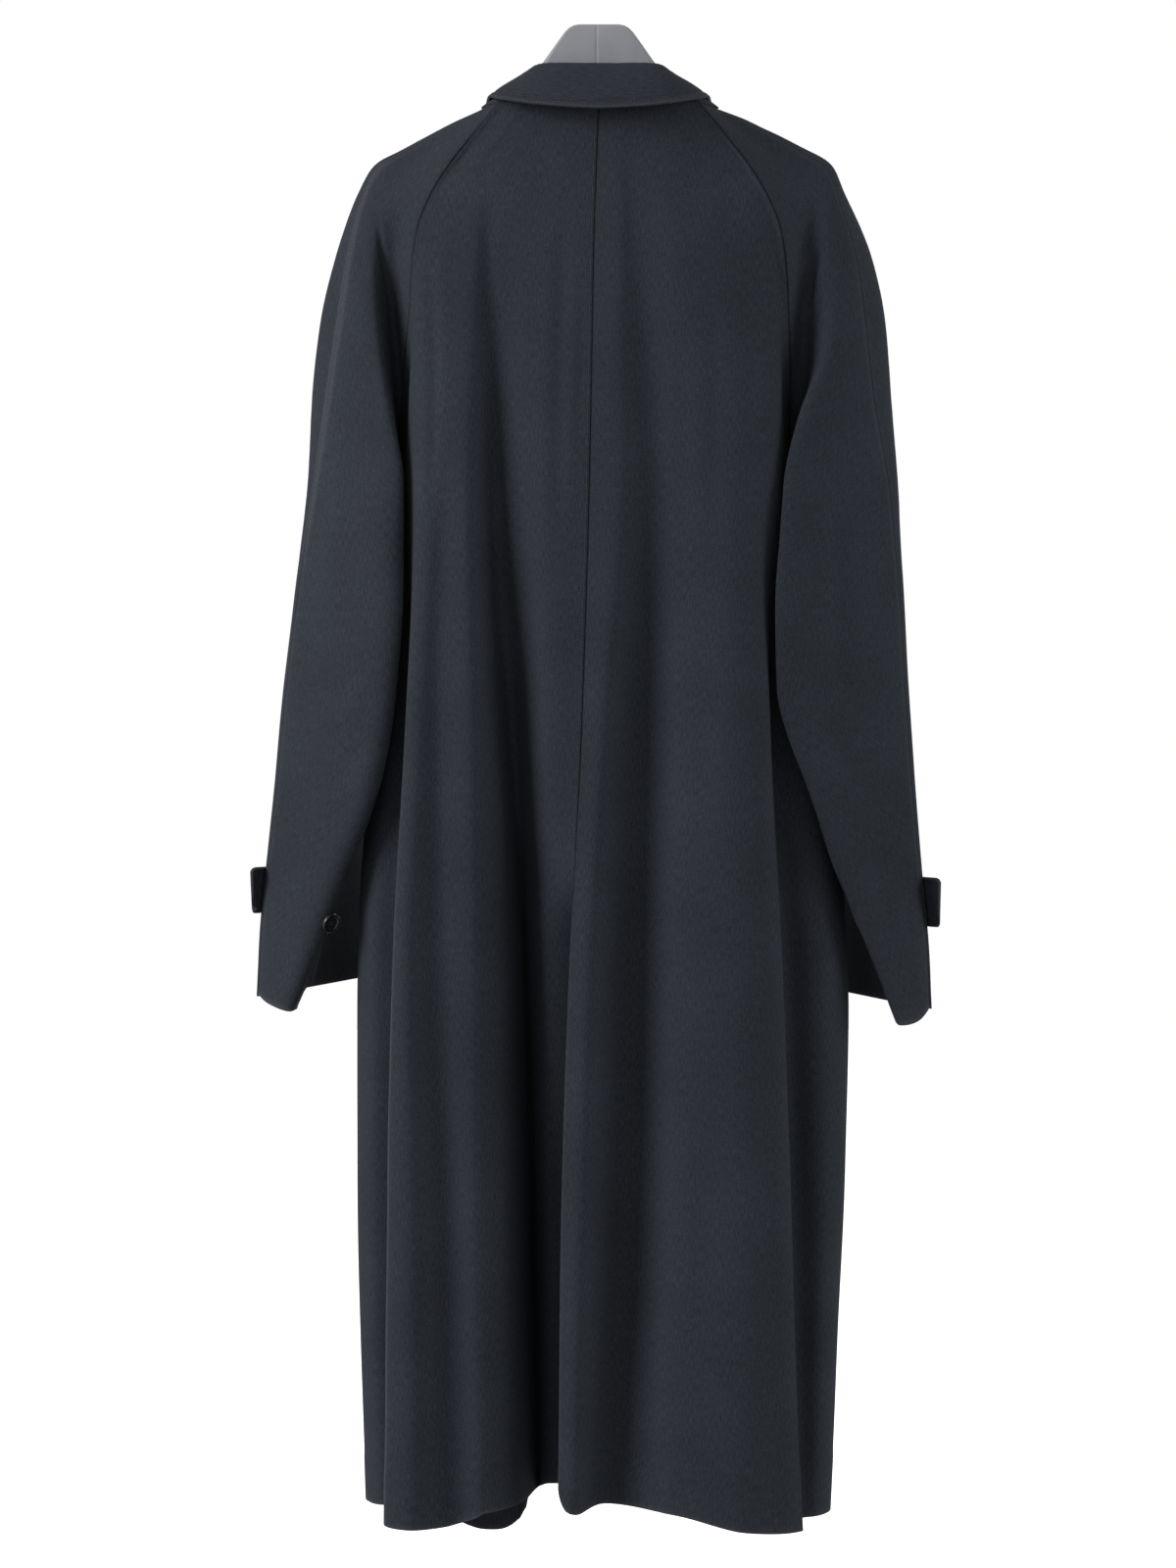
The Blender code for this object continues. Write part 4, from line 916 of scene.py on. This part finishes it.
for side, word in SIDES:
    places = sleeve_places()
    dense = section_curves(sleeve_points(side, places), SECTION_STEPS)
    on_raglan = (1 - ease((places - 7.5) / 1.5))[:, None]
    # This mask lifts the left overarm ridge and also carries its painted highlight
    pressed_ridge_and_painted_highlight = (ease((places - 3.2) / 1.0) * (1 - ease((places - 9.0) / 2.0)))[:, None]
    hangs = ease((places - 8.5) / 2.0)[:, None]
    sag = ease((places - places[-1] + SAG_ROWS) / SAG_ROWS)[:, None]
    cuff_wear = 0.6 * np.exp(-((places - places[-1]) / 0.08)[:, None] ** 2)
    halves = (("back", dense[:, : OVERARM_STEP + 1]), ("front", dense[:, OVERARM_STEP:]))
    for half, rows in halves:
        corner = run_lengths(rows)[:, CORNER_STEP, None]
        rows, first = add_lap(rows)
        grid, from_first, from_last = spread(rows, first, SLEEVE_COLUMNS, SEAM_COLUMNS)
        from_first, lapped = past_lap(from_first)
        raglan_off, overarm_off = (from_first, from_last) if half == "back" else (from_last, from_first)
        x, z = grid[..., 0], grid[..., 2]
        creases = SLEEVE_CREASES if half == "back" else ()
        depth = crease_depth(x, z, creases) + slack(x, z, SLEEVE_SEED + side) - LAP_DEEP * lapped
        stitched = RAGLAN_STITCHED[word] * near_stitch(raglan_off, SEAM_COLUMNS[STITCH_AT])
        depth -= SEAM_SUNK * ditch(raglan_off) + stitched * on_raglan
        depth += 2.0 * pressed_ridge_and_painted_highlight * ditch(overarm_off, 3.2) if side < 0 else -0.8 * ditch(overarm_off, 4.0)
        if half == "back":
            off = from_first - corner
            across = np.clip(off / (from_first[:, -1:] - corner), 0, 1)
            before, past = np.clip(1 - off / EDGE_ROUND, 0, 1) ** 2, np.clip(1 + off / EDGE_PAST, 0, 1)
            depth += BARREL[word] * hangs * np.sin(np.pi * across)
            grid[..., 1] += EDGE_TURN[word] * hangs * np.where(off > 0, before, past)
            grid[..., 2] -= CUFF_SAG[word] * sag * np.sin(np.pi * across)
        grid = grid + outward_ways(grid, side) * depth[..., None]
        seam = SEAM_DARK * ditch(raglan_off) + OVERARM_DARK[word] * ditch(overarm_off)
        wear_and_painted_highlight = cuff_wear + 0.2 * ditch(overarm_off - 2.5, 2.5)
        # Painted highlight: a lighter line along the left overarm ridge, which faces the key light
        if side < 0:
            wear_and_painted_highlight = wear_and_painted_highlight + pressed_ridge_and_painted_highlight * ditch(overarm_off - 1.0, 3.6)
        name = "sleeve_%s_%s" % (word, half)
        panels[name] = grid
        piece = lay_cloth(name + "_cloth", grid, side, WALL, seam, wear_and_painted_highlight, name)
        col = len(LAP_COLUMNS) + STITCH_AT if half == "back" else -1 - STITCH_AT
        path = stitch_path(grid, col, side)[places < 8.6]
        stitch_run("raglan_stitches_%s_%s" % (word, half), path, STITCH_PITCH, 0.26)

# Collar
# A turn-down collar of the same cloth, its stand sewn round the neck and its leaf falling over the back.
# The edge is topstitched, and the fold rolls softly without a press line.
COLLAR_WALL, COLLAR_ROLL = 2.2, 5
NECK_SHARES = (0, 0.13, 0.27, 0.40, 0.52, 0.65, 0.77, 0.88, 0.965)
# fold reach, y, z; leaf edge reach, y, z, from the centre back to the front end
COLLAR = (
    (0, -50, -43.5, 0, -80, -86),
    (29, -49, -43, 33, -78, -84),
    (50, -40, -42, 68, -70, -79),
    (60, -22, -44, 92, -46, -71),
    (66, 2, -45, 96, -12, -66),
    (63, 26, -60, 100, 26, -74),
    (52, 49, -80, 104, 70, -105),
    (33, 70, -104, 84, 101, -144),
    (7, 90, -122, 52, 119, -184),
)


def neck_rim(side):
    top = np.array([NECK_TOP], float)
    back = section_curves(back_points(side, top), 4)[0]
    sleeve = section_curves(sleeve_points(side, np.array([0.0])), 4)[0]
    front = section_curves(front_points(side, top), 4)[0]
    rim = np.concatenate([back, sleeve[1:-1], front])
    return rim[(rim[:, 0] * side > -1) | (rim[:, 1] < 0)]


def collar_points(side, stations):
    keys = np.arange(len(COLLAR))
    fx, fy, fz, ex, ey, ez = (between(keys, column(COLLAR, k), stations)[:, None] for k in range(6))
    fold, edge = np.concatenate([side * fx, fy, fz], 1), np.concatenate([side * ex, ey, ez], 1)
    rim = neck_rim(side)
    runs = run_lengths(rim[None])[0]
    goal = between(keys, NECK_SHARES, stations) * runs[-1]
    seam = np.stack([np.interp(goal, runs, rim[:, k]) for k in range(3)], -1)
    out = (edge - fold) * [1, 1, 0]
    out /= np.linalg.norm(out, axis=1, keepdims=True)
    up = np.array([0, 0, 1.0])
    tight = 0.5 * ease((stations - 5) / 3) + 0.45 * np.exp(-((stations - 2.8) ** 2))
    roll = COLLAR_ROLL * (1 - tight)[:, None]
    rise = 0.7 + 2.5 * ease((stations - 2.5) / 2.5) + 1.2 * ease((stations - 6) / 1.5)
    low = seam + up * rise[:, None] + out * 0.3
    middle = (low + fold) / 2 + out
    fold_in = fold - up * roll * 0.5 - out * roll * 0.5
    fold_out = fold - up * roll * 0.7 + out * roll * 1.1
    full = 1 - 0.75 * ease(stations - 1.5) * (1 - ease((stations - 5) / 1.5))
    fall = fold * 0.45 + edge * 0.55 + (out * 3 + up * 2) * full[:, None]
    rows = [2 * low - middle, low, middle, fold_in, fold, fold_out, fall, edge, 2 * edge - fall]
    return np.stack(rows, 1)


COLLAR_ROWS, COLLAR_STEPS, COLLAR_COLUMNS, COLLAR_SEED = 113, 8, 40, 6.2
stations = np.linspace(0, len(COLLAR) - 1, COLLAR_ROWS)
left_half = section_curves(collar_points(-1, stations[::-1]), COLLAR_STEPS)
right_half = section_curves(collar_points(1, stations[1:]), COLLAR_STEPS)
dense = np.concatenate([left_half, right_half])
grid, _, from_edge = spread(dense, (0.0, 3.0, 6.0), COLLAR_COLUMNS, EDGE_COLUMNS)
grid = grid + outward_ways(grid, -1) * COLLAR_WALL
depth = 0.35 * slack(grid[..., 0] * 1.4, grid[..., 2] * 2.5, COLLAR_SEED)
depth -= 0.55 * near_stitch(from_edge, STITCH_GAP)
depth += 0.25 * ditch(from_edge - 3.4, 2.4)
grid = grid + outward_ways(grid, -1) * depth[..., None]
seam = 0.4 * near_stitch(from_edge, STITCH_GAP, 0.9)
collar = lay_cloth("collar_cloth", grid, -1, COLLAR_WALL, seam, 0.6 * ditch(from_edge, 2.0), "collar")
stitch_run("collar_edge_stitches", stitch_path(grid, -1 - EDGE_STITCH, -1)[2:-2], STITCH_PITCH, 0.36)

# Pocket welts
# A slanting strip of doubled cloth beside each side seam, closing the pocket mouth.
# It is laid on the front and topstitched along its edges.
WELT_TOP, WELT_BOTTOM, WELT_WIDE, WELT_LEAN = -560, -728, 32, 44
WELT_FROM_SIDE, WELT_WALL, WELT_LIFT, WELT_STITCH = 10, 2.0, 2.8, 4.0
WELT_ROWS, WELT_ROW_GAP = 48, 3.5
WELT_EDGE, WELT_FAR_EDGE = [0, 0.6, 1.5, 3.0, 4.0, 5.0], [27, 28, 29, 30.5, 31.4, 32]
WELT_STEPS = np.concatenate([WELT_EDGE, np.linspace(7, 25, 10), WELT_FAR_EDGE])


def on_row(row, distances):
    runs = run_lengths(row[None])[0]
    return np.stack([np.interp(distances, runs, row[:, k]) for k in range(3)], -1)


def row_between(grid, col, height):
    line = grid[:, col, 2]
    k = int(np.clip(np.searchsorted(-line, -height) - 1, 0, len(line) - 2))
    t = np.clip((line[k] - height) / max(1e-6, line[k] - line[k + 1]), 0, 1)
    return grid[k] * (1 - t) + grid[k + 1] * t


for side, word in SIDES:
    front = panels["front_" + word]
    rows = []
    for t in np.linspace(0, 1, WELT_ROWS):
        row = row_between(front, 16, WELT_TOP + (WELT_BOTTOM - WELT_TOP) * t)
        rows.append(on_row(row, SEAM_LAP + WELT_FROM_SIDE + WELT_LEAN * (1 - t) + WELT_STEPS))
    rows = np.array(rows)
    count = np.arange(WELT_ROWS)
    ends = np.minimum(count, count[::-1])[:, None] * WELT_ROW_GAP
    sides = np.minimum(WELT_STEPS, WELT_WIDE - WELT_STEPS)[None, :]
    from_rim = np.minimum(ends, sides)
    lift = WELT_LIFT - 1.0 * ditch(from_rim, 1.0) - 0.5 * near_stitch(from_rim, WELT_STITCH)
    rows = rows + outward_ways(rows, side) * lift[..., None]
    seam = 0.4 * near_stitch(from_rim, WELT_STITCH, 0.9)
    wear_and_painted_highlight = 0.6 * ditch(from_rim, 1.6)
    piece = lay_cloth("pocket_welt_%s_cloth" % word, rows, side, WELT_WALL, seam, wear_and_painted_highlight, "pocket_welt_" + word)
    for k, word_edge in ((4, "inner"), (-5, "outer")):
        stitch_run("welt_stitches_%s_%s" % (word, word_edge), rows[2:-2, k], 3.0, 0.32)

# Cuff straps
# A tab of doubled cloth round each cuff, topstitched near its edge, its free end standing off the sleeve.
# A button holds it down; a second button farther back takes the strap when the cuff is drawn in.
STRAPS = {"left": (-738, -779), "right": (-747, -791)}
STRAP_LONG, STRAP_CORNER, STRAP_WALL, STRAP_LIFT, STRAP_STITCH, STRAP_STAND = 62, 7, 2.4, 2.9, 4.2, 2.0
STRAP_EDGE = np.array([0, 0.015, 0.04, 0.07, 0.1, 0.13])
STRAP_FAR_EDGE = np.array([0.87, 0.9, 0.93, 0.96, 0.985, 1])
STRAP_FREE = {"left": 17, "right": 22}
STRAP_LEAN = {"left": 0.56, "right": 0.44}
straps = {}
for side, word in SIDES:
    sleeve = panels["sleeve_%s_front" % word]
    high, low = STRAPS[word]
    edge_col = int(np.argmax(sleeve[150, :, 0] * side))
    free = STRAP_FREE[word]
    along = np.concatenate([np.linspace(-free, 0, 16), np.linspace(2, STRAP_LONG, 28)])
    shares = np.concatenate([STRAP_EDGE, np.linspace(0.18, 0.82, 12), STRAP_FAR_EDGE])
    corner = free + along
    arc = np.sqrt(np.maximum(0, STRAP_CORNER ** 2 - (STRAP_CORNER - corner) ** 2))
    cut = np.where(corner < STRAP_CORNER, STRAP_CORNER - arc, 0)
    rows = np.empty((len(shares), len(along), 3))
    for j, s in enumerate(along):
        squeeze = 1 - 1.1 * cut[j] / abs(high - low)
        for i, share in enumerate(shares):
            height = (high + low) / 2 + (0.5 - share) * (high - low) * squeeze
            row = row_between(sleeve, edge_col, height)
            start = run_lengths(row[None])[0][edge_col]
            if s >= 0:
                rows[i, j] = on_row(row, np.array([start + s]))[0]
            else:
                base = on_row(row, np.array([start, start + 40]))
                lead = (base[0] - base[1]) / np.linalg.norm(base[0] - base[1])
                stand = STRAP_STAND * ease(-s / free)
                reach = -s * (1 - STRAP_LEAN[word] * share)
                rows[i, j] = base[0] + lead * reach + np.array([side, 0.1, 0]) * stand
    ways = outward_ways(rows, side)
    from_long = np.minimum(shares, 1 - shares)[:, None] * abs(high - low)
    from_rim = np.minimum(from_long, corner[None, :])
    lift = STRAP_LIFT - 0.8 * ditch(from_rim, 1.0) - 0.5 * near_stitch(from_rim, STRAP_STITCH)
    rows = rows + ways * lift[..., None]
    straps[word] = rows
    seam = 0.45 * near_stitch(from_rim, STRAP_STITCH, 0.9)
    wear_and_painted_highlight = 0.7 * ditch(from_rim, 1.6)
    piece = lay_cloth("cuff_strap_%s_cloth" % word, rows, side, STRAP_WALL, seam, wear_and_painted_highlight, "cuff_strap_" + word)
    # The stitches run round the strap, and on its underside round the free end only
    for label, end, off in (("", None, STITCH_PROUD), ("underside_", 16, -2.5)):
        moved = rows + ways * off
        loop = np.concatenate([moved[4, 4:end][::-1], moved[5:-5, 4], moved[-5, 4:end]])
        stitch_run("cuff_strap_%sstitches_%s" % (label, word), loop, 2.8, 0.32)

# Buttons
# Four-hole buttons of dark polished plastic with a raised rim, sewn on with crossed thread.
# Four close the front; one holds each cuff strap, and one waits on the back of each sleeve.
BUTTON_THICK, BUTTON_RIM, HOLE_AT, HOLE_RADIUS, DRILL_LONG = 3.6, 1.8, 2.3, 0.95, 8
HOLE_TURNS = (0.785, 2.356, 3.927, 5.498)
FRONT_RADIUS, CUFF_RADIUS = 11.5, 8.8
THREAD_RADIUS, THREAD_HEIGHT, THREAD_FLAT = 0.5, 1.9, 0.42
FRONT_BUTTON_HEIGHTS = (-215, -365, -515, -665)


def model_button(radius):
    middle = BUTTON_THICK / 2 * MM
    bpy.ops.mesh.primitive_cylinder_add(
        vertices=56, radius=radius * MM, depth=BUTTON_THICK * MM, location=(0, 0, middle)
    )
    disc = bpy.context.object
    bpy.ops.object.transform_apply(location=True, rotation=True, scale=True)
    bpy.ops.object.mode_set(mode="EDIT")
    bpy.ops.mesh.select_mode(type="FACE")
    bpy.ops.mesh.select_all(action="DESELECT")
    bpy.ops.object.mode_set(mode="OBJECT")
    for face in disc.data.polygons:
        face.select = face.normal.z > 0.9
    bpy.ops.object.mode_set(mode="EDIT")
    bpy.ops.mesh.inset(thickness=BUTTON_RIM * MM, depth=0)
    bpy.ops.mesh.inset(thickness=0.9 * MM, depth=-1.1 * MM)
    bpy.ops.mesh.inset(thickness=radius * 0.3 * MM, depth=-0.25 * MM)
    bpy.ops.object.mode_set(mode="OBJECT")
    soft = disc.modifiers.new("rounded", "BEVEL")
    soft.width, soft.segments = 0.7 * MM, 4
    soft.limit_method, soft.angle_limit = "ANGLE", 0.5
    bpy.ops.object.modifier_apply(modifier=soft.name)
    for a in HOLE_TURNS:
        place = (HOLE_AT * np.cos(a) * MM, HOLE_AT * np.sin(a) * MM, middle)
        bpy.ops.mesh.primitive_cylinder_add(
            vertices=18, radius=HOLE_RADIUS * MM, depth=DRILL_LONG * MM, location=place
        )
        drill = bpy.context.object
        bpy.ops.object.select_all(action="DESELECT")
        bpy.context.view_layer.objects.active = disc
        disc.select_set(True)
        hole = disc.modifiers.new("hole", "BOOLEAN")
        hole.operation, hole.solver, hole.object = "DIFFERENCE", "EXACT", drill
        bpy.ops.object.modifier_apply(modifier=hole.name)
        bpy.data.objects.remove(drill, do_unlink=True)
    bpy.ops.object.shade_smooth_by_angle(angle=0.6)
    return disc


def model_thread():
    bars = []
    for turn in (HOLE_TURNS[0], -HOLE_TURNS[0]):
        bpy.ops.mesh.primitive_torus_add(
            major_segments=24, minor_segments=8, major_radius=HOLE_AT * MM, minor_radius=THREAD_RADIUS * MM
        )
        bar = bpy.context.object
        upright = Matrix.Rotation(turn, 4, "Z") @ Matrix.Rotation(QUARTER_TURN, 4, "X")
        flat = Matrix.Translation((0, 0, THREAD_HEIGHT * MM)) @ Matrix.Diagonal((1, 1, THREAD_FLAT, 1))
        bar.data.transform(flat @ upright)
        bars.append(bar)
    bpy.ops.object.select_all(action="DESELECT")
    for bar in bars:
        bar.select_set(True)
    bpy.context.view_layer.objects.active = bars[0]
    bpy.ops.object.join()
    bpy.ops.object.shade_smooth()
    return bars[0]


def polished_plastic(name):
    mat, shader = new_material(name)
    where = add_node(mat, "TexCoord")
    streak = add_node(mat, "TexNoise", Scale=130.0, Detail=5.0, Distortion=1.5)
    tone = add_ramp(mat, (0.35, 0.75), (0.006, 0.006, 0.007), (0.022, 0.020, 0.019))
    rough = add_node(mat, "MapRange", To_Min=0.12, To_Max=0.26)
    set_sockets(shader, Specular_IOR_Level=0.6, Coat_Weight=0.4, Coat_Roughness=0.08)
    wire(
        mat,
        (where, "Object", streak, "Vector"),
        (streak, "Fac", tone, "Fac"),
        (tone, "Color", shader, "Base Color"),
        (streak, "Fac", rough, "Value"),
        (rough, "Result", shader, "Roughness"),
    )
    return mat


BUTTON_PLASTIC = polished_plastic("dark_polished_plastic")


def sew_on(name, disc, thread, place, out):
    out = Vector(out).normalized()
    across = out.cross(Vector((0, 0, 1))).normalized()
    turn = Matrix((across, out.cross(across), out)).transposed().to_4x4()
    lay = Matrix.Translation(Vector(place) * MM) @ turn
    parts = ((disc, "_disc", BUTTON_PLASTIC, "button"), (thread, "_thread", SEWING_THREAD, "coat_cloth"))
    for source, label, finish, slot in parts:
        mesh = source.data.copy()
        mesh.transform(lay)
        piece = bpy.data.objects.new(name + label, mesh)
        bpy.context.collection.objects.link(piece)
        mesh.materials.clear()
        mesh.materials.append(finish)
        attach(piece, "root")
        if source is disc:
            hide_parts(name)


def on_face(grid, row, col, way):
    return grid[row, col], outward_ways(grid, way)[row, col]


def row_index(grid, col, height):
    return int(np.argmin(np.abs(grid[:, col, 2] - height)))


front_disc, cuff_disc, cross_thread = model_button(FRONT_RADIUS), model_button(CUFF_RADIUS), model_thread()
left_front = panels["front_left"]
for k, height in enumerate(FRONT_BUTTON_HEIGHTS):
    col = int(np.argmin(np.abs(left_front[row_index(left_front, -1, height), :, 0])))
    place, out = on_face(left_front, row_index(left_front, col, height), col, -1)
    sew_on("front_button_%d" % (k + 1), front_disc, cross_thread, place + out * 0.5, out)
for side, word in SIDES:
    place, out = on_face(straps[word], 11, 18, side)
    sew_on("strap_button_" + word, cuff_disc, cross_thread, place + out * 0.3, out)
    sleeve = panels["sleeve_%s_back" % word]
    low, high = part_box("cuff_button_" + word)
    goal = (np.array(low) + np.array(high)) / 2 / MM
    gaps = np.linalg.norm(sleeve - goal, axis=2)
    i, j = np.unravel_index(int(np.argmin(gaps)), gaps.shape)
    place, out = on_face(sleeve, i, j, side)
    sew_on("cuff_button_" + word, cuff_disc, cross_thread, place + out * 0.4, out)
for master in (front_disc, cuff_disc, cross_thread):
    bpy.data.objects.remove(master, do_unlink=True)

# Floor, light and camera
# A plain pale floor below the hanging coat, a large soft light from the camera's left and white surroundings.
# The camera stands level with the middle of the coat, square to its back.
FLOOR_Z = -1.62
bpy.ops.mesh.primitive_plane_add(size=24, location=(0, 0, FLOOR_Z))
floor = bpy.context.object
floor.name = floor.data.name = "floor"
pale, pale_shader = new_material("pale_floor")
set_sockets(pale_shader, Base_Color=(0.92, 0.92, 0.92, 1), Roughness=0.9)
set_sockets(pale_shader, Emission_Color=(1, 1, 1, 1), Emission_Strength=1.0)
floor.data.materials.append(pale)
floor.visible_diffuse = floor.visible_glossy = False
floor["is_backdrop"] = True

world = bpy.data.worlds.new("white_surroundings")
world.use_nodes = True
sky = world.node_tree.nodes["Background"]
sky.inputs["Color"].default_value = (1, 1, 1, 1)
bpy.context.scene.world = world
seen = add_node(world, "LightPath")
level = add_node(world, "MapRange", To_Min=0.36, To_Max=1.0)
wire(world, (seen, "Is Camera Ray", level, "Value"), (level, "Result", sky, "Strength"))


def soft_light(name, place, aim, size, power):
    data = bpy.data.lights.new(name, "AREA")
    data.shape = "RECTANGLE"
    data.size, data.size_y = size
    data.energy = power
    lamp = bpy.data.objects.new(name, data)
    lamp.location = place
    lamp.rotation_mode = "QUATERNION"
    lamp.rotation_quaternion = (Vector(aim) - Vector(place)).to_track_quat("-Z", "Y")
    bpy.context.collection.objects.link(lamp)


soft_light("key_light", (-3.62, -1.7, 0.9), (0, 0, -0.6), (1.8, 2.6), 135)
soft_light("right_fill", (3.8, -1.2, 0.1), (0, 0, -0.65), (1.8, 2.4), 42)
soft_light("front_side_fill", (1.6, 3.6, 0.4), (0, 0, -0.65), (2.4, 2.4), 20)

SENSOR, CAMERA_AWAY, FRAME_TALL = 36.0, 3500, 1376
scene = bpy.context.scene
scene.view_settings.view_transform = "Standard"
scene.view_settings.look = "None"
camera = bpy.data.cameras.new("camera")
camera.sensor_fit = "VERTICAL"
camera.sensor_width = camera.sensor_height = SENSOR
camera.lens = SENSOR * CAMERA_AWAY / FRAME_TALL
eye = bpy.data.objects.new("camera", camera)
eye.location = (-0.0095, -CAMERA_AWAY * MM, -0.665)
eye.rotation_mode = "QUATERNION"
eye.rotation_quaternion = Vector((0, 1, 0)).to_track_quat("-Z", "Y")
bpy.context.collection.objects.link(eye)
scene.camera = eye

low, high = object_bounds()
